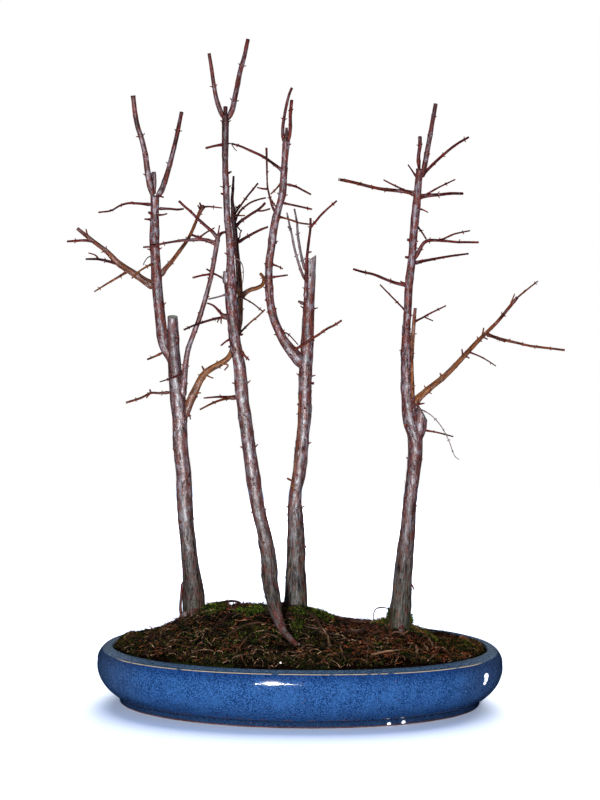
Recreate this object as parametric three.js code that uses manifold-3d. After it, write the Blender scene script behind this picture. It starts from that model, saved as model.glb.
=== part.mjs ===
// A leafless dawn redwood forest in a shallow oval glazed pot. Millimetres, +Z up, front towards -Y.
import * as THREE from "three";
import { mergeVertices } from "three/addons/utils/BufferGeometryUtils.js";
import Module from "manifold-3d";

const wasm = await Module();
wasm.setup();

// Driving dimensions

const pot = {
  halfLength: 157.2, // at the crease under the lip
  halfDepth: 116,
  creaseHeight: 43,
  bulge: 2.3, // how far the belly stands out past the crease
  rimPower: 2.25, // 2 is an ellipse, more is fuller at the corners
  lipWidth: 9,
  lipRise: 2,
  footHalfLength: 142.3,
  footWidth: 12,
  footHeight: 6,
  floorThickness: 6,
  sides: 48,
};
const drain = { radius: 8, spacing: 140, sides: 16 };
const screen = { side: 34, thickness: 1.2, holes: 3, hole: 7 };
const clearance = 0.35; // between pieces that touch
const soil = {
  rimHeight: 43,
  dome: 14,
  hump: { x: -40, y: 18, height: 15.5, halfLength: 62, halfWidth: 55 }, // under the three left trees
  rise: { x: 76, y: 0, height: 4, halfLength: 30, halfWidth: 34 }, // under the right tree
  lumps: 1.1,
  rings: 8,
};
const moundTop = 72; // the height at which the trunks leave the mound
const spur = { spacing: 34, lowest: 110, thickness: 0.7, least: 1.6, spread: 2.2 };
const view = { x: -2, distance: 1400, height: 290 }; // the eye that the branch points are seen from

// Solids

function solidOf(geometry) {
  geometry.deleteAttribute("normal");
  geometry.deleteAttribute("uv");
  const merged = mergeVertices(geometry, 1e-4);
  return new wasm.Manifold(
    new wasm.Mesh({
      numProp: 3,
      vertProperties: new Float32Array(merged.attributes.position.array),
      triVerts: new Uint32Array(merged.index.array),
    }),
  );
}

function geometryOf(solid) {
  const mesh = solid.getMesh();
  const positions = new Float32Array(mesh.numVert * 3);
  for (let i = 0; i < mesh.numVert; i += 1) {
    const from = i * mesh.numProp;
    positions.set(mesh.vertProperties.subarray(from, from + 3), i * 3);
  }
  const geometry = new THREE.BufferGeometry();
  geometry.setAttribute("position", new THREE.BufferAttribute(positions, 3));
  geometry.setIndex(new THREE.BufferAttribute(new Uint32Array(mesh.triVerts), 1));
  geometry.computeVertexNormals();
  return geometry;
}

const fuse = (solids) => solids.reduce((whole, solid) => whole.add(solid));

// The one body that counts, without scraps that a cut has left loose.
function largest(solid) {
  const bodies = solid.decompose();
  return bodies.reduce((best, body) => (body.volume() > best.volume() ? body : best));
}

// A repeatable stream of numbers from 0 to 1.
function seeded(seed) {
  let state = seed;
  return () => {
    state = (state * 1664525 + 1013904223) % 4294967296;
    return state / 4294967296;
  };
}

// Oval plan

// The wall keeps its distance from the rim along both axes, and the floor shrinks evenly to its middle.
const evenRadius = 120;
const narrower = pot.halfLength - pot.halfDepth;
function halfDepthAt(halfLength) {
  if (halfLength > evenRadius) return halfLength - narrower;
  return (halfLength * (evenRadius - narrower)) / evenRadius;
}

// The foot is an ellipse, and the wall above it grows fuller up to the rim.
function powerAt(halfLength) {
  const up = THREE.MathUtils.smoothstep(halfLength, pot.footHalfLength, pot.halfLength);
  return THREE.MathUtils.lerp(2, pot.rimPower, up);
}

// A turned profile of [half length, height] points, pressed to the oval plan.
function ovalGeometry(profile) {
  const points = profile.map(([r, z]) => new THREE.Vector2(r, z));
  const geometry = new THREE.LatheGeometry(points, pot.sides);
  geometry.rotateX(Math.PI / 2);
  const place = geometry.attributes.position;
  for (let i = 0; i < place.count; i += 1) {
    const r = Math.hypot(place.getX(i), place.getY(i));
    if (r < 1e-6) continue;
    const reach = (part) => Math.sign(part) * Math.abs(part / r) ** (2 / powerAt(r));
    place.setXY(i, r * reach(place.getX(i)), halfDepthAt(r) * reach(place.getY(i)));
  }
  return geometry;
}

// Pot

const floorTop = pot.footHeight + pot.floorThickness;
const innerTop = pot.halfLength - pot.lipWidth;
const lipTop = pot.creaseHeight + pot.lipRise;
const innerWall = [
  [innerTop, lipTop],
  [innerTop - 0.8, lipTop - 2.5],
  [innerTop - 1.5, 36],
  [innerTop - 3.5, 26],
  [innerTop - 8, 17.5],
  [innerTop - 17, 13],
  [innerTop - 29, floorTop],
];

function potSolid() {
  const belly = new THREE.SplineCurve(
    [[144.5, 7.5], [149, 11], [153.5, 16.5], [156.6, 22.5], [158.8, 29], [pot.halfLength + pot.bulge, 35]]
      .map(([r, z]) => new THREE.Vector2(r, z)),
  ).getPoints(6);
  const footInner = pot.footHalfLength - pot.footWidth;
  const profile = [
    [0, pot.footHeight],
    [footInner - 2, pot.footHeight],
    [footInner, 0],
    [pot.footHalfLength, 0],
    [pot.footHalfLength + 0.5, pot.footHeight - 1],
    ...belly.map((p) => [p.x, p.y]),
    [pot.halfLength + pot.bulge - 0.3, 40],
    [pot.halfLength + 0.6, pot.creaseHeight - 0.4],
    [pot.halfLength - 1, pot.creaseHeight + 0.5],
    [innerTop + 2.5, lipTop + 0.2],
    ...innerWall,
    [0, floorTop],
  ];
  let solid = solidOf(ovalGeometry(profile));
  for (const side of [-1, 1]) {
    const hole = new THREE.CylinderGeometry(drain.radius, drain.radius, 30, drain.sides);
    hole.rotateX(Math.PI / 2);
    hole.translate((side * drain.spacing) / 2, 0, pot.footHeight);
    solid = solid.subtract(solidOf(hole));
  }
  return solid;
}

// Drain screens

function screenSolid() {
  const pitch = screen.side / (screen.holes + 0.6);
  let plate = solidOf(new THREE.BoxGeometry(screen.side, screen.side, screen.thickness));
  for (let i = 0; i < screen.holes ** 2; i += 1) {
    const hole = new THREE.BoxGeometry(screen.hole, screen.hole, 2 * screen.thickness);
    const column = (i % screen.holes) - (screen.holes - 1) / 2;
    const row = Math.floor(i / screen.holes) - (screen.holes - 1) / 2;
    hole.translate(column * pitch, row * pitch, 0);
    plate = plate.subtract(solidOf(hole));
  }
  return plate;
}

// Soil

// Height of the mound over a point of the pot: a dome, a broad hump, a small rise and shallow lumps.
function soilHeight(x, y) {
  const edge = innerTop - 1;
  const power = powerAt(edge);
  const out = Math.min(1, Math.abs(x / edge) ** power + Math.abs(y / halfDepthAt(edge)) ** power);
  const { hump, rise } = soil;
  const humped = Math.exp(-(((x - hump.x) / hump.halfLength) ** 4) - ((y - hump.y) / hump.halfWidth) ** 2);
  const risen = Math.exp(-(((x - rise.x) / rise.halfLength) ** 2) - ((y - rise.y) / rise.halfWidth) ** 2);
  const lumps = soil.lumps * Math.sin(x / 8 + 1) * Math.sin(y / 7 + x / 23) * (1 - out);
  const mound = soil.dome * Math.sqrt(1 - out) + hump.height * humped * (1 - out ** 3);
  return soil.rimHeight + mound + rise.height * risen + lumps;
}

// The soil before anything is cut from it. A lift raises its top only.
function soilBody(lift) {
  const topEdge = innerTop - 0.8 - clearance;
  const profile = [];
  for (let i = 0; i <= soil.rings; i += 1) profile.push([(topEdge * i) / soil.rings, 0]);
  const wall = innerWall.slice(2).map(([r, z]) => [r - clearance, z + clearance]);
  profile.push(...wall, [0, floorTop + clearance]);
  const geometry = ovalGeometry(profile);
  const place = geometry.attributes.position;
  for (let i = 0; i < place.count; i += 1) {
    const onTop = i % profile.length <= soil.rings;
    if (onTop) place.setZ(i, soilHeight(place.getX(i), place.getY(i)) + lift);
  }
  const reversed = geometry.index.array;
  for (let i = 0; i < reversed.length; i += 3) {
    [reversed[i], reversed[i + 1]] = [reversed[i + 1], reversed[i]];
  }
  return solidOf(geometry);
}

// Roots that run over the soil: [x, y] points, thickness at both ends, and how high the middle arches.
const surfaceRoots = [
  [[[2, 44], [22, 42], [42, 36], [60, 22], [68, 8]], 2.6, 1.6, 1],
  [[[-76, 34], [-64, 38], [-52, 34], [-42, 26]], 2, 1.2, 1.5],
  [[[-28, -22], [-48, -34], [-62, -50], [-70, -70]], 2, 1, 1],
  [[[0, 18], [10, 0], [16, -22], [17, -44]], 2, 1, 1],
  [[[-40, 10], [-58, -12], [-70, -36]], 2, 1.2, 0.5],
  [[[-94, 22], [-112, 8], [-124, -16]], 2.4, 1.2, 0.5],
  [[[-8, 50], [-18, 68], [-34, 82]], 2.4, 1.2, 0.5],
  [[[88, 4], [106, 14], [120, 6]], 2.2, 1.2, 0.5],
  [[[68, -10], [50, -26], [40, -48]], 2, 1, 0.5],
];

function surfaceRoot([points, start, end, arch], grow) {
  const last = points.length - 1;
  const path = points.map(([x, y], i) => {
    const middle = Math.sin((Math.PI * i) / last);
    const tip = i === 0 || i === last ? -2 : 0;
    return new THREE.Vector3(x, y, soilHeight(x, y) + 0.4 + arch * middle + tip);
  });
  return limbSolid(path, [start, end], 4, 2 * last, grow);
}

// Limbs

// A closed tapering tube: a cylinder whose rings are carried along a smooth curve.
function limbSolid(points, radii, sides, steps, grow) {
  const curve = new THREE.CatmullRomCurve3(points, false, "centripetal");
  const frames = curve.computeFrenetFrames(steps, false);
  const geometry = new THREE.CylinderGeometry(1, 1, 1, sides, steps);
  const place = geometry.attributes.position;
  const spot = new THREE.Vector3();
  for (let i = 0; i < place.count; i += 1) {
    const across = place.getX(i);
    const along = Math.round((place.getY(i) + 0.5) * steps);
    const up = place.getZ(i);
    const radius = radiusAt(radii, along / steps) + grow;
    const past = along === 0 ? -grow : along === steps ? grow : 0;
    curve.getPointAt(along / steps, spot);
    spot.addScaledVector(frames.binormals[along], across * radius);
    spot.addScaledVector(frames.normals[along], up * radius);
    spot.addScaledVector(frames.tangents[along], past);
    place.setXYZ(i, spot.x, spot.y, spot.z);
  }
  return solidOf(geometry);
}

// Thickness between the listed radii, which are spread evenly from the start to the tip.
function radiusAt(radii, along) {
  const at = along * (radii.length - 1);
  const before = Math.min(Math.floor(at), radii.length - 2);
  return THREE.MathUtils.lerp(radii[before], radii[before + 1], at - before);
}

// A point seen at [x, z] on a tree's own plane, moved along the line of sight by its depth.
function seenAt([x, z], plane, depth) {
  const eye = new THREE.Vector3(view.x, -view.distance, view.height);
  const point = new THREE.Vector3(x, plane, z).sub(eye);
  return eye.addScaledVector(point, 1 + depth / (view.distance + plane));
}

// Trees

// Each limb: name, the limb it grows from, its middle line as seen [x, z], radii from start to tip,
// and how far it reaches back (positive) or forward (negative) from where it starts.
const farLeftTree = {
  plane: 30,
  seed: 11,
  limbs: [
    ["trunk", "", [[-87, 34], [-87, 50], [-87, 64], [-87, 78], [-88, 95], [-91, 120], [-94, 148],
      [-95, 175], [-98, 200], [-99, 225], [-102, 250], [-104, 276], [-105, 305]],
      [9.8, 9.7, 9.2, 7.9, 6.9, 6.6, 6.2, 5.8, 6, 6.4, 5.4, 5, 4], 0],
    ["leader", "trunk", [[-104, 262], [-108, 273], [-112, 282], [-114, 295], [-116, 312], [-118, 332],
      [-119, 346], [-120, 362], [-120, 381], [-120, 400]],
      [4.4, 4.5, 4.4, 4.3, 4.2, 4.3, 3.8, 4, 3.2, 3.5], 8],
    ["left_top", "leader", [[-121, 398], [-123, 405], [-126, 420], [-128, 434], [-131, 446],
      [-134, 455], [-136, 464], [-138, 480]], [2.8, 2.3, 2, 1.8], -14],
    ["right_top", "leader", [[-119, 398], [-115, 404], [-112, 412], [-109, 422], [-106, 434],
      [-103, 447], [-101, 457], [-99, 467]], [2.6, 2, 1.8, 1.5], 18],
    ["dead_top", "leader", [[-120, 402], [-121, 419]], [2.2, 1.7], 4],
    ["left_twig", "leader", [[-122, 393], [-134, 394], [-141.5, 394], [-148, 392], [-155, 388],
      [-165, 386.5]], [1.1, 0.6], 22],
    ["right_twig", "leader", [[-118, 390], [-107.8, 389.9], [-102, 389.4], [-97, 390]], [1, 0.8], -9],
    ["left_limb", "leader", [[-118, 327], [-126, 331], [-135, 337], [-143, 342], [-150, 347],
      [-158, 355], [-166, 361], [-172, 365.5], [-182, 373.5]], [3, 2.8, 2.6, 2.4, 1.8, 1.6, 1.3], -24],
    ["left_limb_a", "left_limb", [[-169, 363.5], [-175, 364], [-190, 363]], [1.2, 0.8], 10],
    ["left_limb_b", "left_limb", [[-148, 345], [-155, 347], [-165, 349], [-175, 349]], [1.3, 0.7], -14],
    ["left_limb_c", "left_limb", [[-141, 340], [-147, 336], [-157, 330], [-168, 323]], [1.1, 0.5], 16],
    ["left_limb_d", "left_limb_b", [[-165, 349], [-167, 352], [-173, 354]], [0.7, 0.4], -4],
    ["orange_twig", "leader", [[-121, 346], [-127, 343], [-133, 339], [-138, 334]],
      [0.9, 0.6], [-3, -12, -17, -22]],
    ["right_limb", "leader", [[-116, 335], [-112, 341], [-106, 348], [-100, 356], [-95, 363],
      [-91, 370], [-88, 377], [-84, 387], [-81, 392]], [2.2, 1.7, 1.5, 1.3, 1.2, 1.9], 34],
    ["right_limb_a", "right_limb", [[-82, 391], [-78, 392], [-66, 391]], [0.8, 0.5], 8],
    ["slender", "trunk", [[-98, 236], [-96, 246], [-95, 257], [-94, 268], [-92, 279], [-88, 290],
      [-84, 301], [-80, 314], [-77, 325], [-74, 338], [-72, 350], [-70, 362], [-69, 370]],
      [2.6, 2.4, 2, 1.9, 1.8, 1.8, 2], [0, -2, -4, -6, -8, -11, -14, -17, -20, -23, -26, -28, -30]],
    ["slender_left", "slender", [[-70, 362], [-75.5, 364.3], [-80, 365.5], [-85, 365.6], [-91.5, 365.1],
      [-96.3, 364.9], [-106, 363.4], [-114.8, 361.7], [-120, 360], [-129, 359]],
      [1.6, 1.4, 1.2, 0.9, 0.8, 0.7], 10],
    ["slender_left_b", "slender_left", [[-79, 365.3], [-85, 367.4], [-90, 369.2]], [1, 0.9], 4],
    ["slender_left_a", "slender_left", [[-84, 367], [-79, 371], [-72, 375]], [0.7, 0.5], -10],
    ["slender_up", "slender", [[-69, 367], [-70.7, 368.5], [-73, 371.3], [-77.2, 374.9], [-81.2, 378.4],
      [-86, 382.8], [-91.7, 388.3], [-96.5, 392.3], [-100.6, 396.2]], [1.4, 1.2, 1, 0.9], -14],
    ["slender_right", "slender", [[-69, 368], [-66, 371], [-61, 372]], [1.2, 0.9], 16],
    ["slender_spike", "slender", [[-69, 369], [-68, 377]], [0.6, 0.4], 6],
    ["slender_twig_a", "slender", [[-74, 338], [-81, 337], [-89, 335]], [0.8, 0.7], -9],
    ["slender_twig_b", "slender", [[-74, 339], [-69, 337], [-63, 333]], [0.8, 0.6], 9],
    ["slender_twig_c", "slender", [[-73, 339], [-78, 342]], [0.7, 0.6], 4],
    ["golden", "trunk", [[-97, 216], [-94, 226], [-91, 234], [-87, 243], [-82, 253.5], [-78, 259],
      [-73, 262.5], [-66, 266.5], [-60, 271], [-56, 279], [-53, 290], [-51, 300], [-51, 310],
      [-51, 320]], [3.6, 3.4, 3, 2.6, 2.2, 2.1, 2.2, 2.5], 12],
    ["golden_top", "golden", [[-51, 316], [-51.6, 330], [-53, 348], [-54, 356], [-55, 365.5],
      [-55.8, 375], [-57, 383], [-57.3, 391], [-58, 397.5], [-57.5, 405], [-57, 416.5]],
      [2.6, 2.3, 2, 2.1, 1.9, 1.2, 0.8], 14],
    ["golden_knot", "golden", [[-51, 318], [-47, 323], [-42, 326], [-38, 327], [-33, 330], [-32, 335],
      [-35, 339]], [2.2, 1.6, 1.3, 0.9], 6],
    ["golden_a", "golden", [[-50, 320], [-41, 315], [-32, 308]], [0.6, 0.5], 7],
    ["golden_b", "golden", [[-52, 290], [-42, 300], [-37, 304], [-31, 310]], [0.8, 0.6], 4],
    ["golden_c", "golden_top", [[-57, 384], [-54, 389], [-50.5, 394], [-45.5, 401], [-41, 406.5],
      [-37.5, 411]], [0.8, 0.7], 12],
    ["golden_d", "golden_top", [[-56, 379], [-53.5, 385.5], [-50.8, 389.5], [-47.6, 392.4],
      [-43, 395.6], [-37, 398], [-31, 399.5]], [0.9, 0.6], -6],
    ["golden_e", "golden_top", [[-56, 375], [-51.5, 380], [-46, 384], [-42, 386.8], [-38, 389.3],
      [-34, 392.5], [-31.6, 395.3]], [1.3, 0.9], 12],
    ["golden_f", "golden_e", [[-40, 388], [-38, 389], [-34, 389], [-30, 390], [-27.6, 390.8]],
      [0.8, 0.6], 5],
    ["golden_g", "golden_top", [[-54, 363.5], [-51.4, 364.7], [-47.4, 367.2], [-41.8, 370.4],
      [-35.4, 373.7], [-29, 376.3]], [1.3, 0.8], 4],
    ["golden_h", "golden_top", [[-57, 385.5], [-51.6, 385.1], [-47.6, 385.2]], [0.7, 0.5], -5],
    ["golden_i", "golden", [[-66, 266.5], [-60, 265], [-63, 261]], [0.7, 0.5], -5],
    ["front_twig", "trunk", [[-99, 257], [-106, 254], [-115, 251]], [0.8, 0.4], [-4, -10, -15]],
    ["low_twig", "trunk", [[-104, 243], [-115, 242], [-122, 242], [-130, 238], [-142, 234]],
      [1, 0.8], -18],
    ["low_spur", "leader", [[-112, 275], [-118, 272], [-125, 269]], [0.9, 0.7], 8],
  ],
  roots: [[40, 26], [130, 22], [215, 28], [285, 22]],
};

const leaningTree = {
  plane: -15,
  seed: 23,
  limbs: [
    ["trunk", "", [[-2, 46], [-6, 50], [-13, 58], [-18, 69], [-21, 81], [-24, 97], [-25, 112],
      [-28, 130], [-33, 150], [-37, 172], [-41, 200], [-44, 220], [-47, 240], [-49, 262], [-53, 285],
      [-55, 303], [-57, 325], [-57, 345], [-58, 362], [-60, 382], [-61, 402], [-62, 425], [-62, 447],
      [-62, 460]],
      [1.8, 2.6, 4.6, 6, 6.4, 5.8, 5.3, 5.4, 5.6, 5.2, 5.2, 4.8, 5.1, 4.4, 4.3, 4.7, 4.6, 3, 2.7, 2.5,
      2.5, 2.3, 2.7, 2.6],
      [-50, -46, -36, -24, -14, -6, 0, 0, 2, 3, 3, 2, 1, 0, 0, 0, 0, 1, 2, 3, 4, 4, 4, 4]],
    ["left_top", "trunk", [[-63, 456], [-66, 463], [-69, 472], [-71, 482], [-73, 495], [-75, 507]],
      [2, 1.7, 1.5, 1.3], -16],
    ["right_top", "trunk", [[-61, 455], [-57, 463], [-55, 472], [-53, 482], [-51, 493], [-48, 504],
      [-45, 518]], [2.3, 2, 1.8, 1.5], 16],
    ["dead_top", "trunk", [[-62, 456], [-62, 466]], [2, 1.7], 2],
    ["twig_a", "trunk", [[-62, 437], [-69, 436], [-77, 434]], [1, 0.8], -10],
    ["spur_node", "trunk", [[-57, 303], [-62, 304], [-65, 307], [-70, 312], [-75, 314]],
      [2.6, 1.2, 0.8, 0.6], -6],
    ["dark_twig", "spur_node", [[-62, 303], [-68, 302], [-75, 300], [-84, 297], [-93, 293]],
      [1, 0.7], -14],
    ["grey_twig", "trunk", [[-57, 322], [-66, 319], [-74, 317]], [0.7, 0.5], 5],
    ["twig_b", "trunk", [[-54, 287], [-59, 285], [-64, 281]], [0.8, 0.6], -8],
    ["twig_c", "trunk", [[-49, 279], [-46, 274], [-42, 270]], [1, 0.7], -6],
    ["twig_d", "trunk", [[-49, 241], [-58, 241], [-66, 241], [-77, 240]], [1.2, 0.5], 12],
    ["twig_e", "trunk", [[-50, 240], [-58, 240], [-68, 237], [-80, 231]], [1.2, 0.6], -14],
    ["callus", "trunk", [[-58, 326], [-60, 332], [-60.5, 339]], [2.2, 2.8, 2], -1],
    ["back_twig", "trunk", [[-45, 226], [-46, 231], [-49, 236]], [1, 0.6], 26],
    ["back_twig_b", "trunk", [[-59, 372], [-59, 377], [-60, 384]], [0.9, 0.5], 22],
  ],
  roots: [[205, 24], [262, 20]],
};

const cutTopTree = {
  plane: 35,
  seed: 37,
  limbs: [
    ["trunk", "", [[-4, 36], [-4, 52], [-4, 66], [-4, 80], [-4, 97], [-4, 118], [-5, 142], [-5, 160],
      [-2, 180], [0, 202], [2, 226], [2, 250], [3, 275], [4, 300], [5, 328], [6, 360]],
      [10, 10, 9.2, 7.8, 7.2, 6.4, 5.1, 5.6, 5.2, 5.2, 5.2, 5.4, 5, 4.3, 4.3, 4], 0],
    ["left_limb", "trunk", [[2, 262], [-5, 272], [-11, 279], [-16, 286], [-20, 294], [-24, 304],
      [-27, 318], [-28, 333], [-28, 346], [-26, 362], [-24, 378], [-21, 391], [-18, 402], [-17, 416],
      [-16, 432], [-15, 446]], [5, 4.4, 3.4, 3.3, 3.2, 3.1, 3.1, 3.2, 2.7, 3, 2.5, 2.8], -18],
    ["top_left", "left_limb", [[-17, 443], [-18, 454], [-17, 464], [-15, 475], [-13, 483], [-11, 488]],
      [1.5, 1.2, 1], -8],
    ["top_right", "left_limb", [[-14, 443], [-12, 455], [-12, 467], [-11, 478]], [1.6, 1.4, 1.3], 10],
    ["top_stub", "left_limb", [[-15, 446], [-15, 456]], [1.4, 1], 2],
    ["arc", "left_limb", [[-17, 421], [-25, 427], [-34, 433], [-45, 438], [-52, 441], [-59, 443]],
      [1.2, 1, 0.7], 12],
    ["upright_twig", "left_limb", [[-22, 388], [-23.6, 389.4], [-26, 393.3], [-27.3, 398], [-28.6, 403],
      [-29.8, 408.5], [-30.3, 417.3], [-30.5, 426], [-31, 440]], [1, 0.6, 0.9], -8],
    ["twig_a", "left_limb", [[-18, 413], [-23, 407], [-27, 403]], [0.7, 0.6], -5],
    ["twig_b", "upright_twig", [[-29, 407], [-33, 407], [-38, 408]], [0.8, 0.5], 6],
    ["twig_c", "left_limb", [[-15, 411], [-7, 409], [-1, 406], [5, 403]], [0.9, 0.7], 12],
    ["twig_d", "left_limb", [[-18, 396], [-8, 394], [6, 391]], [0.8, 0.7], -14],
    ["twig_e", "left_limb", [[-22, 385], [-17, 384], [-10, 382], [-4, 380], [4, 379]], [0.8, 0.6], 10],
    ["twig_f", "left_limb", [[-27, 336], [-20, 337], [-13, 338]], [0.8, 0.6], -9],
    ["twig_g", "left_limb", [[-27, 347], [-21, 345], [-17, 343]], [0.8, 0.5], 8],
    ["twig_h", "left_limb", [[-19, 292], [-13, 291], [-4, 282]], [0.6, 0.4], -8],
    ["crossing_twig", "left_limb", [[-9, 277], [-5, 279], [0, 282], [7, 287], [12, 290], [19, 295],
      [25, 298], [31, 302]], [1.2, 1, 0.8], [0, -5, -8, -12, -15, -18, -20, -22]],
    ["red_shoot", "trunk", [[2, 318], [2, 328], [2, 347], [3, 358], [4, 367], [5, 376], [5, 384]],
      [1.7, 1.2, 1.1, 0.9], [-3, -5, -8, -9, -10, -11, -12]],
    ["red_shoot_a", "red_shoot", [[5, 377], [9, 381], [13, 386], [18, 391], [26, 398]],
      [0.9, 0.7], -12],
    ["grey_shoot", "red_shoot", [[1, 334], [-2, 341], [-5, 350], [-8, 361], [-10, 371], [-12, 379],
      [-14, 388]], [1.1, 0.9, 0.6], 14],
    ["grey_shoot_a", "grey_shoot", [[-10, 373], [-13, 377]], [0.8, 0.6], 4],
    ["pale_shoot", "red_shoot", [[1, 342], [-1, 349], [-3, 358], [-5, 370], [-6, 381], [-8, 391]],
      [1.2, 1, 0.7], 24],
    ["stub", "trunk", [[2, 314], [-4, 317]], [1.2, 0.9], 3],
    ["back_twig", "trunk", [[4, 300], [4, 306], [5, 314]], [1, 0.6], 34],
    ["back_twig_b", "left_limb", [[-27, 322], [-27, 328], [-27, 335]], [0.9, 0.5], 28],
  ],
  roots: [[20, 28], [100, 26], [205, 22], [320, 26]],
};

const rightTree = {
  plane: 0,
  seed: 41,
  limbs: [
    ["trunk", "", [[78, 30], [78, 44], [78, 56], [79, 68], [80, 84], [81, 102], [84, 134], [86, 165],
      [89, 192], [89, 210], [85, 225], [83, 245], [82, 265], [81, 290], [82, 312], [83, 333], [85, 352],
      [86, 372], [88, 394], [89, 408], [90, 421]],
      [10, 9.6, 8.6, 7.5, 7.1, 6.3, 5.9, 5, 5.4, 5.8, 6, 5.4, 5.2, 3.8, 3, 3.2, 3.2, 2.9, 3.4, 3,
      2.6],
      4],
    ["shoulder", "trunk", [[89, 200], [92, 214], [95, 236]], [5.6, 5.2, 4.6], 1],
    ["dead_strip", "trunk", [[84, 268], [86, 285], [87, 300], [88, 312]], [2.2, 1.6, 1.2], -1],
    ["top", "trunk", [[92, 415], [94, 424], [96, 436], [98, 448], [100, 460], [102, 472]],
      [2.2, 1.9, 1.6], -14],
    ["top_stub", "trunk", [[90, 418], [89, 430], [90, 439], [90, 446]], [1.8, 1.4, 1.5], 6],
    ["top_right", "trunk", [[91, 414], [95, 419], [105, 429], [118, 440], [128, 446]],
      [1.3, 1.1, 0.9], 22],
    ["top_left_spur", "trunk", [[88, 414], [81, 424]], [0.8, 0.5], 8],
    ["long_left", "trunk", [[88, 401], [80, 403], [70, 404], [60, 405], [50, 407], [42, 409], [33, 411],
      [27, 412]], [1.7, 1.2, 1.1], -34],
    ["long_left_a", "long_left", [[79, 404], [70, 408], [62, 412]], [0.7, 0.5], 12],
    ["upper_right", "trunk", [[89, 399], [95, 400], [106, 401], [115, 402], [124, 402]],
      [1.8, 1.2, 1], 28],
    ["upper_right_a", "upper_right", [[95, 400.5], [104, 406], [118, 413]], [0.8, 0.5], -14],
    ["twig_a", "trunk", [[89, 390], [93, 389], [97, 387]], [0.6, 0.4], -5],
    ["twig_b", "trunk", [[88, 377], [92, 372], [96, 366]], [0.7, 0.6], -13],
    ["fork", "trunk", [[86, 349], [90, 356], [94, 363], [98, 365], [108, 365], [120, 364], [128, 364],
      [137, 364]], [1.8, 1.2, 0.9, 0.8], -26],
    ["fork_a", "fork", [[101, 365], [108, 366], [117, 370], [125, 372], [130, 373]], [0.8, 0.5], 14],
    ["purple_twig", "trunk", [[86, 347], [94, 349], [104, 351], [115, 353], [129, 355]],
      [1.3, 0.9, 0.7], 26],
    ["left_twig", "trunk", [[82, 330], [74, 331], [65, 334], [55, 338], [46, 340], [39, 342]],
      [1.3, 0.8], 28],
    ["left_twig_a", "left_twig", [[79, 331], [76, 333]], [0.7, 0.4], -3],
    ["thin_left", "trunk", [[81, 309], [75, 315], [69, 321], [60, 330]], [0.7, 0.5], -16],
    ["strip_twig", "dead_strip", [[87, 301], [93, 304], [100, 308], [112, 314]], [0.8, 0.5], 12],
    ["strip_twig_a", "strip_twig", [[95, 305], [102, 302]], [0.5, 0.4], -4],
    ["big_right", "trunk", [[84, 233], [89, 239], [100, 249], [110, 257], [119, 266], [128, 276],
      [137, 286], [144, 293], [152, 301], [160, 311], [168, 321]],
      [3.4, 2.6, 2.2, 2, 1.8, 1.4, 1.3, 1.3], 34],
    ["big_right_tip", "big_right", [[167, 320], [174, 326], [184, 334]], [0.8, 0.5], 6],
    ["big_right_a", "big_right", [[144, 292], [153, 289], [161, 287], [170, 285], [179, 283],
      [188, 282], [206, 280]], [1.3, 0.9, 0.8], -30],
    ["big_right_b", "big_right_a", [[149, 290], [159, 286]], [0.8, 0.5], 6],
    ["big_right_c", "big_right", [[130, 278], [138, 275], [144, 272], [152, 267]], [0.7, 0.4], 14],
    ["low_twig", "shoulder", [[95, 216], [107, 214], [119, 211]], [0.7, 0.5], 14],
    ["low_spur", "shoulder", [[89, 236], [96, 237]], [0.8, 0.5], -6],
    ["back_twig", "trunk", [[83, 255], [84, 262], [83, 270], [84, 280]], [1.2, 0.7], 38],
    ["back_twig_b", "trunk", [[82, 318], [83, 325], [84, 333]], [1, 0.6], 32],
  ],
  roots: [[20, 26], [110, 24], [190, 24], [270, 26]],
};

// Depth of a grown limb where it is seen nearest to a point.
function depthNear(limb, [x, z]) {
  const steps = 60;
  let best = Infinity;
  let depth = 0;
  for (let i = 0; i <= steps; i += 1) {
    const spot = limb.line.getPoint(i / steps);
    const away = (spot.x - x) ** 2 + (spot.y - z) ** 2;
    if (away < best) {
      best = away;
      depth = spot.z;
    }
  }
  return depth;
}

// The middle line of every limb in space, from the lines seen in front.
function growLimbs(tree) {
  const grown = new Map();
  for (const [name, parent, seen, radii, reach] of tree.limbs) {
    const start = parent ? depthNear(grown.get(parent), seen[0]) : 0;
    const last = seen.length - 1;
    const depths = seen.map((_, i) => start + (Array.isArray(reach) ? reach[i] : reach * (i / last) ** 1.2));
    const line = new THREE.CatmullRomCurve3(seen.map(([x, z], i) => new THREE.Vector3(x, z, depths[i])));
    const points = seen.map((point, i) => seenAt(point, tree.plane, depths[i]));
    grown.set(name, { name, line, points, radii });
  }
  return grown;
}

function sidesFor(radius) {
  if (radius > 4) return 10;
  if (radius > 2.4) return 6;
  return radius > 1.4 ? 5 : 4;
}

// A twig needs fewer rings than a limb to follow its line.
function limbBody(limb, grow) {
  const thickest = Math.max(...limb.radii);
  const share = thickest > 1.4 ? 0.75 : 0.5;
  const steps = Math.max(2, Math.ceil((limb.points.length - 1) * share));
  return limbSolid(limb.points, limb.radii, sidesFor(thickest), steps, grow);
}

// Buttress roots that leave the foot of a trunk and dive under the soil: [compass angle, length] each.
function buttressRoots(tree, trunk, grow) {
  const off = (point) => Math.abs(point.z - moundTop);
  const foot = trunk.points.reduce((a, b) => (off(b) < off(a) ? b : a));
  return tree.roots.map(([angle, length]) => {
    const way = new THREE.Vector2(1, 0).rotateAround(new THREE.Vector2(), THREE.MathUtils.degToRad(angle));
    const at = (out, lift) => {
      const x = foot.x + way.x * out;
      const y = foot.y + way.y * out;
      return new THREE.Vector3(x, y, soilHeight(x, y) + lift);
    };
    const path = [at(2, 6), at(8, 1.6), at(length * 0.6, -0.4), at(length, -4)];
    return limbSolid(path, [4, 2.8, 1.8, 1.2], 5, 4, grow);
  });
}

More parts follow.
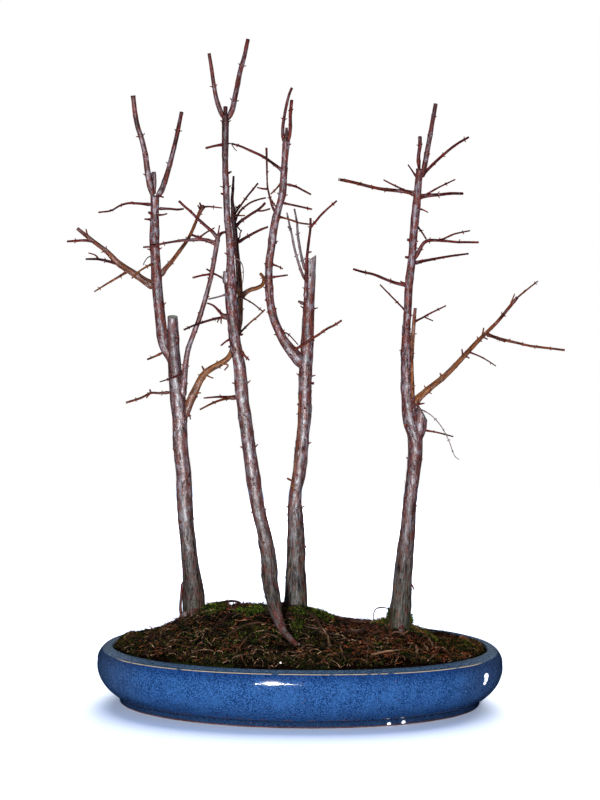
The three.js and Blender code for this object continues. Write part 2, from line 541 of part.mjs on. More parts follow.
// A cut face: everything past a point, in the direction that the face looks, is taken off.
function cutPast(solid, point, facing) {
  const size = 60;
  const block = new THREE.BoxGeometry(size, size, size);
  block.translate(0, 0, size / 2);
  const turn = new THREE.Quaternion();
  turn.setFromUnitVectors(new THREE.Vector3(0, 0, 1), facing.clone().normalize());
  block.applyQuaternion(turn);
  block.translate(point.x, point.y, point.z);
  return solid.subtract(solidOf(block));
}

// Bud spurs in opposite pairs, each pair turned from the last, along the limbs thicker than a twig.
function budSpurs(tree, limbs) {
  const random = seeded(tree.seed);
  const spurs = [];
  for (const limb of limbs.values()) {
    const middle = radiusAt(limb.radii, 0.5);
    const curve = new THREE.CatmullRomCurve3(limb.points, false, "centripetal");
    const count = middle < 1 ? 0 : Math.floor(curve.getLength() / spur.spacing);
    for (let i = 1; i < count; i += 1) {
      const along = (i + 0.5 * random()) / count;
      const start = curve.getPointAt(along);
      if (start.z < spur.lowest) continue;
      const tangent = curve.getTangentAt(along);
      const side = new THREE.Vector3(0, 1, 0).cross(tangent).normalize();
      const turn = i * 1.9 + random();
      side.applyAxisAngle(tangent, turn);
      const radius = radiusAt(limb.radii, along);
      const length = radius + spur.least + spur.spread * random();
      const tip = start.clone().addScaledVector(side, length).addScaledVector(tangent, 0.5 * length);
      const line = [start, start.clone().lerp(tip, 0.5), tip];
      spurs.push(limbSolid(line, [spur.thickness, spur.thickness / 2], 3, 1, 0));
    }
  }
  return spurs;
}

// Marks where a limb was sawn at a slant: [limb, point seen, direction that the cut looks].
const slantedCuts = {
  trunk: { tree: cutTopTree, seen: [6.5, 352], facing: new THREE.Vector3(-0.72, -0.1, 1) },
  shoulder: { tree: rightTree, seen: [95, 229], facing: new THREE.Vector3(1, -0.15, 0.6) },
};

function treeSolid(tree) {
  const limbs = growLimbs(tree);
  const bodies = [...limbs.values()].map((limb) => {
    const cut = slantedCuts[limb.name];
    const body = limbBody(limb, 0);
    if (!cut || cut.tree !== tree) return body;
    return cutPast(body, seenAt(cut.seen, tree.plane, 0), cut.facing);
  });
  const trunk = limbs.get("trunk");
  return largest(fuse([...bodies, ...buttressRoots(tree, trunk, 0), ...budSpurs(tree, limbs)]));
}

// What the foot of a tree takes out of the soil and the moss around it.
function treeHole(tree) {
  const trunk = growLimbs(tree).get("trunk");
  return fuse([limbBody(trunk, clearance), ...buttressRoots(tree, trunk, clearance)]);
}

// Moss cushions: [x, y, half length, half width, height].
const mossCushions = [
  [-69, 20, 13, 9, 4],
  [-38, 2, 12, 10, 4],
  [14, 24, 13, 9, 3.6],
  [66, 5, 12, 11, 5.5],
  [96, -10, 11, 9, 4],
  [134, 2, 10, 14, 3],
  [-134, 4, 9, 16, 4.5],
];

function mossBlank([x, y, halfLength, halfWidth, height]) {
  const profile = [[0, -4], [1, -4], [1, 0.35], [0.75, 0.8], [0, 1]];
  const points = profile.map(([r, z]) => new THREE.Vector2(r, z));
  const geometry = new THREE.LatheGeometry(points, 12);
  geometry.rotateX(Math.PI / 2);
  const place = geometry.attributes.position;
  for (let i = 0; i < place.count; i += 1) {
    const px = x + place.getX(i) * halfLength;
    const py = y + place.getY(i) * halfWidth;
    const lift = place.getZ(i) * height * (0.85 + 0.15 * Math.sin(px) * Math.cos(py));
    place.setXYZ(i, px, py, soilHeight(px, py) + lift);
  }
  return solidOf(geometry);
}

// Looks

const looks = {
  glaze: new THREE.MeshStandardMaterial({ color: 0x1d3a78, roughness: 0.25, metalness: 0 }),
  soil: new THREE.MeshStandardMaterial({ color: 0x4a2c1c, roughness: 0.95, metalness: 0 }),
  bark: new THREE.MeshStandardMaterial({ color: 0x7a5c52, roughness: 0.8, metalness: 0 }),
  moss: new THREE.MeshStandardMaterial({ color: 0x5c7a24, roughness: 0.95, metalness: 0 }),
  plastic: new THREE.MeshStandardMaterial({ color: 0x20241f, roughness: 0.6, metalness: 0 }),
};

function meshOf(name, solid, material) {
  const mesh = new THREE.Mesh(geometryOf(solid), material);
  mesh.name = name;
  return mesh;
}

// The forest

const trees = {
  dawn_redwood_far_left: farLeftTree,
  dawn_redwood_leaning: leaningTree,
  dawn_redwood_cut_top: cutTopTree,
  dawn_redwood_right: rightTree,
};
const forest = new THREE.Group();

function addPot() {
  forest.add(meshOf("pot", potSolid(), looks.glaze));
  for (const [name, side] of [["drain_screen_left", -1], ["drain_screen_right", 1]]) {
    const mesh = meshOf(name, screenSolid(), looks.plastic);
    mesh.position.set((side * drain.spacing) / 2, 0, floorTop + clearance + screen.thickness / 2);
    forest.add(mesh);
  }
}

// Room for a drain screen under the soil.
function screenPocket(side) {
  const width = screen.side + 2 * clearance;
  const height = 2 * (screen.thickness + 2 * clearance);
  const pocket = new THREE.BoxGeometry(width, width, height);
  pocket.translate((side * drain.spacing) / 2, 0, floorTop);
  return solidOf(pocket);
}

function addPlanting() {
  const holes = fuse(Object.values(trees).map(treeHole));
  const roots = surfaceRoots.map((root) => surfaceRoot(root, 0));
  const pockets = screenPocket(-1).add(screenPocket(1));
  const ground = fuse([soilBody(0), ...roots]).subtract(holes).subtract(pockets);
  forest.add(meshOf("soil_and_root_mat", largest(ground), looks.soil));
  for (const [name, tree] of Object.entries(trees)) {
    forest.add(meshOf(name, treeSolid(tree), looks.bark));
  }
  const wideRoots = surfaceRoots.map((root) => surfaceRoot(root, clearance));
  const underMoss = fuse([soilBody(clearance), ...wideRoots]);
  const blocked = underMoss.add(holes).add(potSolid());
  mossCushions.forEach((cushion, i) => {
    const body = largest(mossBlank(cushion).subtract(blocked));
    forest.add(meshOf(`moss_cushion_${i + 1}`, body, looks.moss));
  });
}

// The origin lies under the middle of the whole plant, at the level that it stands on.
function centred(group) {
  const middle = new THREE.Box3().setFromObject(group).getCenter(new THREE.Vector3());
  group.position.set(-middle.x, -middle.y, 0);
  const root = new THREE.Group();
  root.add(group);
  return root;
}

addPot();
addPlanting();

export default centred(forest);
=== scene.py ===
import math
import random

import bmesh
import bpy
from mathutils import Matrix, Vector, noise


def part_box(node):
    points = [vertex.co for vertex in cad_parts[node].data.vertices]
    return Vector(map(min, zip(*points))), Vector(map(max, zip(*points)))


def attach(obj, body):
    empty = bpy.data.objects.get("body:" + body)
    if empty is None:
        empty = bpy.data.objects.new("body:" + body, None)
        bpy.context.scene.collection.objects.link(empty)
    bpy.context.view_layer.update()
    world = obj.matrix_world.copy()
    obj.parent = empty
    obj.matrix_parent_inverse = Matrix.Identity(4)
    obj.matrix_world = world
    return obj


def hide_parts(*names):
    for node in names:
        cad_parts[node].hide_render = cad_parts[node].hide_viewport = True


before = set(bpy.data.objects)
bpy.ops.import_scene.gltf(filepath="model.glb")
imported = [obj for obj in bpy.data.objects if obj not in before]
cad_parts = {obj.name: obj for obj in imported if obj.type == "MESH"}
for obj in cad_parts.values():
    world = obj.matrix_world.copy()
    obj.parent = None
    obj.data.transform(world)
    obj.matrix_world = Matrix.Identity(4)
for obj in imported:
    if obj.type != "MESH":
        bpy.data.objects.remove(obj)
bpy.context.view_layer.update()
mm = 0.001
potLow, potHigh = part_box("pot")
potMiddle = Vector(((potLow.x + potHigh.x) / 2, (potLow.y + potHigh.y) / 2, 0))
print("frame loaded:", len(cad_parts), "solids")


# Shader maths: a wire is one output of a material's tree

class Wire:
    def __init__(self, tree, socket):
        self.tree = tree
        self.socket = socket

    def node(self, kind, settings, inputs, output=0):
        made = self.tree.nodes.new(kind)
        for key, value in settings.items():
            setattr(made, key, value)
        for key, value in inputs.items():
            if isinstance(value, Wire):
                self.tree.links.new(value.socket, made.inputs[key])
            else:
                made.inputs[key].default_value = value
        return Wire(self.tree, made.outputs[output])

    def maths(self, operation, first, second):
        return self.node("ShaderNodeMath", {"operation": operation}, {0: first, 1: second})

    def __add__(self, other):
        return self.maths("ADD", self, other)

    def __sub__(self, other):
        return self.maths("SUBTRACT", self, other)

    def __rsub__(self, other):
        return self.maths("SUBTRACT", other, self)

    def __mul__(self, other):
        return self.maths("MULTIPLY", self, other)

    __radd__ = __add__
    __rmul__ = __mul__

    def most(self, other):
        return self.maths("MAXIMUM", self, other)

    def absolute(self):
        return self.maths("ABSOLUTE", self, 0.0)

    # 0 below low, 1 above high, smooth between
    def rise(self, low, high):
        if low > high:
            return 1 - self.rise(high, low)
        return self.node("ShaderNodeMapRange", {"interpolation_type": "SMOOTHSTEP"},
                         {0: self, 1: low, 2: high})

    # 1 within a half width of a middle value, soft at both edges
    def band(self, middle, half, soft):
        return (self - middle).absolute().rise(half + soft, half)

    def part(self, axis):
        return self.node("ShaderNodeSeparateXYZ", {}, {0: self}, axis)

    def stretched(self, scale):
        return self.node("ShaderNodeVectorMath", {"operation": "MULTIPLY"}, {0: self, 1: scale})

    def far(self, point):
        return self.node("ShaderNodeVectorMath", {"operation": "DISTANCE"}, {0: self, 1: point}, 1)

    def length(self):
        return self.node("ShaderNodeVectorMath", {"operation": "LENGTH"}, {0: self}, 1)

    def cloud(self, scale, detail=3.0, roughness=0.5, distortion=0.0):
        return self.node("ShaderNodeTexNoise", {}, {"Vector": self, "Scale": scale, "Detail": detail,
                                                    "Roughness": roughness, "Distortion": distortion})

    def cells(self, scale):
        return self.node("ShaderNodeTexVoronoi", {}, {"Vector": self, "Scale": scale})

    def tint(self, first, second):
        return self.node("ShaderNodeMix", {"data_type": "RGBA"},
                         {0: self, 6: opaque(first), 7: opaque(second)}, 2)

    def relief(self, depth, strength):
        return self.node("ShaderNodeBump", {}, {"Height": self, "Distance": depth, "Strength": strength})


def opaque(colour):
    return colour if isinstance(colour, Wire) else (*colour, 1.0)


# A material, and the wire of the place that its patterns read, which is an attribute or the object's space
def newFinish(name, attribute=None, **fixed):
    finish = bpy.data.materials.new(name)
    finish.use_nodes = True
    tree = finish.node_tree
    shader = tree.nodes["Principled BSDF"]
    for key, value in fixed.items():
        shader.inputs[key.replace("_", " ")].default_value = value
    start = Wire(tree, None)
    if attribute:
        return finish, start.node("ShaderNodeAttribute", {"attribute_name": attribute}, {}, 1)
    return finish, start.node("ShaderNodeTexCoord", {}, {}, 3)


def applyLook(finish, colour, roughness, normal=None, **more):
    shader = finish.node_tree.nodes["Principled BSDF"]
    ports = {"Base Color": colour, "Roughness": roughness, "Normal": normal}
    ports.update({key.replace("_", " "): value for key, value in more.items()})
    for key, value in ports.items():
        if isinstance(value, Wire):
            finish.node_tree.links.new(value.socket, shader.inputs[key])
        elif value is not None:
            shader.inputs[key].default_value = value
    return finish


# Finished pieces

def addPiece(name, mesh, finishes, replaced=()):
    for finish in finishes:
        mesh.materials.append(finish)
    mesh.shade_smooth()
    piece = bpy.data.objects.new(name, mesh)
    bpy.context.scene.collection.objects.link(piece)
    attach(piece, "root")
    if replaced:
        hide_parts(*replaced)
    mesh.calc_loop_triangles()
    print("   ", name, len(mesh.loop_triangles), "triangles")


# A bmesh drawn in millimetres from the middle of the pot becomes a mesh in its place
def placedMesh(name, shape):
    bmesh.ops.scale(shape, vec=(mm, mm, mm), verts=shape.verts)
    bmesh.ops.translate(shape, vec=potMiddle, verts=shape.verts)
    mesh = bpy.data.meshes.new(name)
    shape.to_mesh(mesh)
    shape.free()
    return mesh


# Many fine strands in one mesh: each is a list of points in millimetres, a thickness at each point,
# and the number of its finish. The UV map runs along each strand.
def strandMesh(name, strands, finishes):
    curve = bpy.data.curves.new(name + "_line", "CURVE")
    curve.dimensions = "3D"
    curve.bevel_depth = mm
    curve.bevel_resolution = 0
    curve.use_fill_caps = True
    for finish in finishes:
        curve.materials.append(finish)
    for points, radii, kind in strands:
        spline = curve.splines.new("POLY")
        spline.points.add(len(points) - 1)
        spline.material_index = kind
        for knot, place, radius in zip(spline.points, points, radii):
            knot.co = (*(Vector(place) * mm + potMiddle), 1)
            knot.radius = radius
    carrier = bpy.data.objects.new(name + "_line", curve)
    bpy.context.scene.collection.objects.link(carrier)
    bpy.context.view_layer.update()
    mesh = bpy.data.meshes.new_from_object(carrier.evaluated_get(bpy.context.evaluated_depsgraph_get()))
    mesh.name = name
    bpy.data.objects.remove(carrier)
    bpy.data.curves.remove(curve)
    return mesh


def lerp(first, second, share):
    return first + (second - first) * share


def smoothStep(low, high, value):
    share = min(1, max(0, (value - low) / (high - low)))
    return share * share * (3 - 2 * share)


# Pot

pot = {
    "halfLength": 157.2,  # at the crease under the lip
    "halfDepth": 116,
    "crease": 43,
    "lip": 9,  # width of the flat lip
    "lipRise": 2,
    "foot": 142.3,  # half length over the foot ring
    "footHeight": 6,
    "rimPower": 2.25,  # 2 is an ellipse, more is fuller at the corners
    "evenRadius": 120,  # half length under which the ovals shrink evenly
    "steps": 224,  # round the pot
    "wobble": 0.25,  # unevenness of the thrown wall, mm
    "shoulder": 9.9,  # radius that rounds the sharp edge under the lip away at both ends
    "shoulderOut": 1.4,  # middle of that rounding, out from the inner edge of the lip
    "shoulderUp": 35,
    "floor": 12,  # height of the floor inside
    "drain": 8,  # radius of each drain hole
    "drainSpacing": 140,
}
lipInner = pot["halfLength"] - pot["lip"]
lipTop = pot["crease"] + pot["lipRise"]
narrower = pot["halfLength"] - pot["halfDepth"]


def halfDepthAt(halfLength):
    if halfLength > pot["evenRadius"]:
        return halfLength - narrower
    return halfLength * (pot["evenRadius"] - narrower) / pot["evenRadius"]


def powerAt(halfLength):
    return lerp(2, pot["rimPower"], smoothStep(pot["foot"], pot["halfLength"], halfLength))


# A turned shape is pressed to the oval plan
def pressOval(shape):
    for vert in shape.verts:
        radius = math.hypot(vert.co.x, vert.co.y)
        if radius < 1e-6:
            continue
        power = 2 / powerAt(radius)
        across, deep = vert.co.x / radius, vert.co.y / radius
        vert.co.x = radius * math.copysign(abs(across) ** power, across)
        vert.co.y = halfDepthAt(radius) * math.copysign(abs(deep) ** power, deep)


def roundedProfile(points, rounds=2):
    # corner cutting keeps both ends and rounds everything between them
    for _ in range(rounds):
        cut = [points[0]]
        for first, second in zip(points, points[1:]):
            cut += [[lerp(a, b, share) for a, b in zip(first, second)] for share in (0.25, 0.75)]
        points = cut + [points[-1]]
    return points


def turned(profile, steps):
    shape = bmesh.new()
    chain = [shape.verts.new((radius, 0, height)) for radius, height in profile]
    edges = [shape.edges.new(pair) for pair in zip(chain, chain[1:])]
    bmesh.ops.spin(shape, geom=chain + edges, cent=(0, 0, 0), axis=(0, 0, 1), angle=2 * math.pi,
                   steps=steps, use_merge=True)
    bmesh.ops.remove_doubles(shape, verts=shape.verts, dist=1e-4)
    bmesh.ops.recalc_face_normals(shape, faces=shape.faces)
    return shape


def potShape():
    wall, crease, foot, under = pot["halfLength"], pot["crease"], pot["foot"], pot["footHeight"]
    outside = roundedProfile([
        [0, under], [70, under], [foot - 14.5, under], [foot - 13, 4.5], [foot - 12, 0.6], [foot - 11, 0],
        [foot - 1.2, 0], [foot - 0.2, 0.7], [foot + 0.3, 3.8], [foot + 0.6, 4.9], [foot + 2.6, 6.2],
        [149, 9.7], [153.5, 14.8], [157, 20.4], [159, 25.6], [159.7, 30], [159.4, 34.4],
        [158.7, 38.6], [157.9, 42.4]])
    lip = roundedProfile([
        [157.9, 42.4], [wall + 0.3, crease - 0.1], [wall - 0.6, crease + 0.35], [wall - 3, 43.7],
        [lipInner + 3.5, lipTop + 0.1], [lipInner + 0.8, lipTop + 0.15], [lipInner - 0.2, lipTop - 0.4],
        [lipInner - 0.8, lipTop - 2.5]])
    floorTop = pot["floor"]
    inside = roundedProfile([
        [lipInner - 0.8, lipTop - 2.5], [lipInner - 1.5, 36], [lipInner - 3.5, 26], [lipInner - 8, 17.5],
        [lipInner - 17, floorTop + 1], [lipInner - 29, floorTop], [70, floorTop], [0, floorTop]], 1)
    shape = turned(outside + lip[1:] + inside[1:], pot["steps"])
    middle, level = pot["shoulderOut"], pot["shoulderUp"]
    for vert in shape.verts:
        radius = math.hypot(vert.co.x, vert.co.y)
        out, up = radius - lipInner - middle, vert.co.z - level
        if out > 0 and up > 0:
            share = smoothStep(0.80, 0.96, abs(vert.co.x) / radius)
            pull = 1 + share * (pot["shoulder"] / math.hypot(out, up) - 1)
            moved = (lipInner + middle + out * pull) / radius
            vert.co = (vert.co.x * moved, vert.co.y * moved, level + up * pull)
    pressOval(shape)
    for vert in shape.verts:
        spot = vert.co
        amount = pot["wobble"] * smoothStep(3, 12, spot.z)
        out = Vector((spot.x, spot.y, 0)).normalized()
        vert.co = spot + out * amount * (noise.noise(spot / 34) + 0.35 * noise.noise(spot / 9))
        vert.co.z += 0.25 * amount * noise.noise(Vector((spot.x, spot.y, 40)) / 15)
    return shape


def cutDrainHoles(mesh):
    # both drain holes are cut through the floor with one pair of round punches
    body = bpy.data.objects.new("pot_body", mesh)
    bpy.context.scene.collection.objects.link(body)
    punch = bmesh.new()
    for side in (-1, 1):
        made = bmesh.ops.create_cone(punch, cap_ends=True, segments=48, radius1=pot["drain"],
                                     radius2=pot["drain"], depth=30)
        bmesh.ops.translate(punch, verts=made["verts"], vec=(side * pot["drainSpacing"] / 2, 0, 6))
    tool = bpy.data.objects.new("punch", placedMesh("punch", punch))
    bpy.context.scene.collection.objects.link(tool)
    cut = body.modifiers.new("Drain holes", "BOOLEAN")
    cut.operation = "DIFFERENCE"
    cut.solver = "EXACT"
    cut.object = tool
    bpy.context.view_layer.update()
    finished = bpy.data.meshes.new_from_object(body.evaluated_get(bpy.context.evaluated_depsgraph_get()))
    for spare in (body, tool):
        bpy.data.objects.remove(spare)
    return finished


# Marks in the glaze: place in mm from the middle of the pot, radius and colour. The white ones are painted
# glints of bright light mirrored in the glaze; the others are the glaze's own marks
glazeMarksAndGlints = [
    # painted glints: a comma of white light on the right end of the wall
    (141.2, -62.6, 33.2, 3.6, (0.95, 0.95, 0.97)),
    (140.9, -63.0, 30.6, 2.9, (0.95, 0.95, 0.97)),
    (139.8, -64.2, 28.2, 2.3, (0.95, 0.95, 0.97)),
    # painted glints: two white specks of light on the foot
    (66.5, -89.3, 2.0, 1.7, (0.90, 0.90, 0.92)),
    (77.5, -84.8, 2.4, 1.9, (0.90, 0.90, 0.92)),
    (81.7, -103, 42.4, 0.9, (0.30, 0.09, 0.03)),
    (51.1, -113, 33.0, 0.9, (0.20, 0.07, 0.03)),
    (117, -88, 33.5, 0.8, (0.001, 0.004, 0.018)),
    (117, -88, 30.0, 0.8, (0.001, 0.004, 0.018)),
]


def glazeFinish():
    finish, place = newFinish("speckled_blue_glaze", IOR=1.5, Specular_IOR_Level=0.09)
    centred = place.node("ShaderNodeMapping", {}, {"Vector": place, "Location": -potMiddle})
    high = place.part(2) * 1000
    along = centred.part(0) * 1000
    fine = place.cloud(1050, 2.0, 0.6)
    grain = place.cloud(2200, 2.0, 0.7)
    mottle = place.cloud(70, 4.0, 0.55)
    runs = place.stretched((1.0, 1.0, 0.12)).cloud(260, 3.0)
    speck = (fine * 0.55 + grain * 0.45).rise(0.45, 0.57)
    wall = speck.tint((0.0024, 0.0105, 0.037), (0.0182, 0.055, 0.143))
    wall = (mottle.rise(0.42, 0.68) * 0.3).tint(wall, (0.019, 0.061, 0.156))
    # darker just under the lip, the glaze's own band with its runs, and darker towards the foot, which is
    # painted shade
    under = high.rise(34, 42.5) * 0.75 + high.rise(18, 9) * 0.25
    deep = speck.tint((0.0006, 0.0028, 0.017), (0.0026, 0.0150, 0.062))
    wall = (under * (0.6 + runs * 0.5)).tint(wall, deep)
    # towards both ends the wall turns greyer and the lip lighter: a painted reflection of bright
    # surroundings on the curving glaze
    ends = along.absolute().rise(105, 160)
    wall = (ends * 0.7).tint(wall, speck.tint((0.007, 0.013, 0.026), (0.030, 0.043, 0.067)))
    lip = speck.tint((0.005, 0.012, 0.024), (0.036, 0.062, 0.098))
    lip = (mottle.rise(0.45, 0.7) * 0.4).tint(lip, (0.020, 0.032, 0.050))
    lip = (ends * 0.8).tint(lip, speck.tint((0.030, 0.045, 0.065), (0.100, 0.125, 0.160)))
    onLip = high.rise(42.7, 43.2)
    colour = onLip.tint(wall, lip)
    foot = high.rise(7.6, 5.4)
    colour = (foot * 0.8).tint(colour, speck.tint((0.002, 0.005, 0.012), (0.010, 0.020, 0.042)))
    broken = place.cloud(95, 2.0).rise(0.34, 0.46) * (1 - ends.rise(0.45, 0.75))
    line = high.band(43.1, 0.10, 0.16) * broken
    colour = (line * 0.85).tint(colour, (0.30, 0.22, 0.14))
    rust = high.band(7.0, 0.25, 0.5) * place.cloud(160, 2.0).rise(0.42, 0.56)
    colour = (rust * 0.5).tint(colour, (0.060, 0.028, 0.018))
    bare = (high + (mottle - 0.5) * 1.5).rise(1.5, 0.9)
    clay = mottle.rise(0.35, 0.65).tint((0.035, 0.010, 0.006), (0.09, 0.035, 0.022))
    colour = bare.tint(colour, clay)
    pits = place.cells(330).rise(0.17, 0.08) * place.cloud(110, 2.0).rise(0.56, 0.66)
    colour = (pits * 0.8).tint(colour, (0.10, 0.045, 0.020))
    # each mark is painted in: the white ones as painted glints, the rest as marks in the glaze
    for x, y, z, size, paint in glazeMarksAndGlints:
        away = centred.stretched((1.0, 1.0, 1.4)).far(Vector((x, y, z * 1.4)) * mm) * 1000
        spot = (away + (fine - 0.5) * 1.6).rise(size, size * 0.6)
        colour = spot.tint(colour, paint)
    ripple = mottle * 0.05 + fine * 0.012 + grain * 0.006
    normal = (ripple - pits * 0.35 - bare * grain).relief(0.0005, 0.2)
    roughness = (0.045 + speck * 0.02 + onLip * 0.16 + pits * 0.2).most(bare * 0.85)
    return applyLook(finish, colour, roughness, normal)


glazedPot = cutDrainHoles(placedMesh("pot_glazed", potShape()))
addPiece("pot_glazed", glazedPot, [glazeFinish()], ["pot"])
print("pot turned")


def screenFinish():
    finish, place = newFinish("drain_screen_plastic")
    weave = place.cloud(900, 3.0)
    dirt = place.cloud(140, 4.0).rise(0.45, 0.7)
    colour = weave.tint((0.010, 0.012, 0.010), (0.022, 0.026, 0.021))
    colour = (dirt * 0.7).tint(colour, (0.050, 0.030, 0.018))
    return applyLook(finish, colour, 0.42 + dirt * 0.4, weave.relief(0.0002, 0.3))


screenLook = screenFinish()
for screen in ("drain_screen_left", "drain_screen_right"):
    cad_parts[screen].data.materials.clear()
    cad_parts[screen].data.materials.append(screenLook)


# Soil and the mat of roots on it

soil = {
    "rim": 43,
    "dome": 14,
    "hump": {"x": -40, "y": 18, "height": 15.5, "halfLength": 62, "halfWidth": 55},
    "rise": {"x": 76, "y": 0, "height": 4, "halfLength": 30, "halfWidth": 34},
    "sunk": 8.5,  # how far the ground sinks towards the ends
    "lumps": 1.1,
    "crumb": 1.0,  # height of the crumbs, mm
    "columns": 230,
    "rows": 170,
}


def soilHeight(x, y):
    edge = lipInner - 1
    power = powerAt(edge)
    out = min(1, abs(x / edge) ** power + abs(y / halfDepthAt(edge)) ** power)
    hump, rise = soil["hump"], soil["rise"]
    along, across = (x - hump["x"]) / hump["halfLength"], (y - hump["y"]) / hump["halfWidth"]
    humped = math.exp(-along ** 4 - across ** 2)
    along, across = (x - rise["x"]) / rise["halfLength"], (y - rise["y"]) / rise["halfWidth"]
    risen = math.exp(-along ** 2 - across ** 2)
    lumps = soil["lumps"] * math.sin(x / 8 + 1) * math.sin(y / 7 + x / 23) * (1 - out)
    mound = soil["dome"] * math.sqrt(1 - out) + hump["height"] * humped * (1 - out ** 3)
    mound -= soil["sunk"] * (smoothStep(84, 118, x) + 0.5 * smoothStep(100, 130, -x)) * math.sqrt(1 - out)
    return soil["rim"] + mound + rise["height"] * risen + lumps


def crumbs(x, y):
    spot = Vector((x, y, 0))
    coarse = noise.noise(spot / 5.5) + 0.7 * noise.noise(spot / 2.4 + Vector((9, 4, 0)))
    return soil["crumb"] * (coarse + 0.4 * noise.noise(spot / 1.1))


def edgeShare(x, y, halfLength):
    # 0 in the middle of the pot, 1 at an oval of that half length
    power = powerAt(halfLength)
    return (abs(x / halfLength) ** power + abs(y / halfDepthAt(halfLength)) ** power) ** (1 / power)


def soilShape():
    # a square grid is drawn out to the oval, and its edge is drawn down the wall and closed
    reach = lipInner - 1.15
    shape = bmesh.new()
    bmesh.ops.create_grid(shape, x_segments=soil["columns"], y_segments=soil["rows"], size=1)
    power = powerAt(reach)
    for vert in shape.verts:
        u, v = vert.co.x, vert.co.y
        disc = Vector((u * math.sqrt(1 - v * v / 2), v * math.sqrt(1 - u * u / 2)))
        far = disc.length
        if far > 1e-6:
            disc = disc / far
        x = reach * far * math.copysign(abs(disc.x) ** (2 / power), disc.x)
        y = halfDepthAt(reach) * far * math.copysign(abs(disc.y) ** (2 / power), disc.y)
        vert.co = (x, y, soilHeight(x, y) + crumbs(x, y) * (1 - far ** 12))
    rim = [edge for edge in shape.edges if edge.is_boundary]
    for inset, height in ((1.0, 36), (3.2, 26), (8, 18), (17, 13.5), (29, 12.5)):
        drawn = bmesh.ops.extrude_edge_only(shape, edges=rim)["geom"]
        rim = [part for part in drawn if isinstance(part, bmesh.types.BMEdge)]
        for vert in (part for part in drawn if isinstance(part, bmesh.types.BMVert)):
            share = (lipInner - inset) / max(1e-6, reachOf(vert.co))
            vert.co = (vert.co.x * share, vert.co.y * share, height)
    bmesh.ops.holes_fill(shape, edges=rim, sides=0)
    bmesh.ops.recalc_face_normals(shape, faces=shape.faces)
    return shape


def reachOf(spot):
    # the half length of the oval that a point lies on
    low, high = 1.0, 200.0
    for _ in range(24):
        middle = (low + high) / 2
        low, high = (middle, high) if edgeShare(spot.x, spot.y, middle) > 1 else (low, middle)
    return low


def soilFinish():
    finish, place = newFinish("root_mat_soil", Specular_IOR_Level=0.0)
    grit = place.cloud(900, 4.0, 0.65)
    clods = place.cloud(260, 5.0, 0.6)
    patches = place.cloud(34, 3.0)
    crumbly = (clods * 0.6 + grit * 0.4).rise(0.38, 0.66)
    # the soil under the mat is near black: its own dark colour, deepened as painted shade for the gaps
    # between the rootlets
    colour = crumbly.tint((0.0004, 0.0002, 0.0001), (0.0045, 0.0019, 0.0009))
    colour = (patches.rise(0.46, 0.60) * clods.rise(0.40, 0.62) * 0.8).tint(colour, (0.006, 0.009, 0.0015))
    colour = (place.cells(420).rise(0.16, 0.08) * grit.rise(0.52, 0.6)).tint(colour, (0.06, 0.032, 0.014))
    height = clods * 0.7 + grit * 0.5
    return applyLook(finish, colour, 0.95, height.relief(0.0012, 0.9))


addPiece("soil_mound", placedMesh("soil_mound", soilShape()), [soilFinish()], ["soil_and_root_mat"])
print("soil heaped")


# Limbs

eye = Vector((-2, -1400, 290))  # where the branch points below are seen from, mm from the middle of the pot
limbBuild = {
    "ring": 1.5,  # mm between the rings of a twig
    "collar": 0.45,  # how much a limb widens where it leaves its parent
    "nodeSwell": 0.13,
    "lowestBud": 108,  # height under which no buds grow
    "baldEnd": 3.0,  # mm without buds at a cut end
    "missingBuds": 0.12,
    "foot": 72,  # height at which the buttress roots leave a trunk
}


def seenAt(seen, plane, depth):
    point = Vector((seen[0], plane, seen[1]))
    return eye + (point - eye) * (1 + depth / (plane - eye.y))


# Centripetal Catmull-Rom through the points, with a given number of steps to each span
def flowing(points, steps):
    points = [Vector(point) for point in points]
    padded = [points[0] * 2 - points[1], *points, points[-1] * 2 - points[-2]]
    line = []
    for i in range(len(points) - 1):
        a, b, c, d = padded[i:i + 4]
        first, second, third = (max((q - p).length ** 0.5, 1e-4) for p, q in ((a, b), (b, c), (c, d)))
        leave = ((b - a) / first - (c - a) / (first + second) + (c - b) / second) * second
        arrive = ((c - b) / second - (d - b) / (second + third) + (d - c) / third) * second
        for step in range(steps):
            t = step / steps
            line.append(b * (2 * t ** 3 - 3 * t ** 2 + 1) + leave * (t ** 3 - 2 * t ** 2 + t)
                        + c * (3 * t ** 2 - 2 * t ** 3) + arrive * (t ** 3 - t ** 2))
    return line + [points[-1]]


# Points at even distances along a line
def evenly(line, count):
    lengths = [0]
    for first, second in zip(line, line[1:]):
        lengths.append(lengths[-1] + (second - first).length)
    spots, k = [], 0
    for i in range(count + 1):
        goal = lengths[-1] * i / count
        while k < len(line) - 2 and lengths[k + 1] < goal:
            k += 1
        span = max(lengths[k + 1] - lengths[k], 1e-9)
        spots.append(line[k].lerp(line[k + 1], (goal - lengths[k]) / span))
    return spots, lengths[-1]


def radiusAt(radii, share):
    at = share * (len(radii) - 1)
    before = min(int(at), len(radii) - 2)
    return lerp(radii[before], radii[before + 1], at - before)


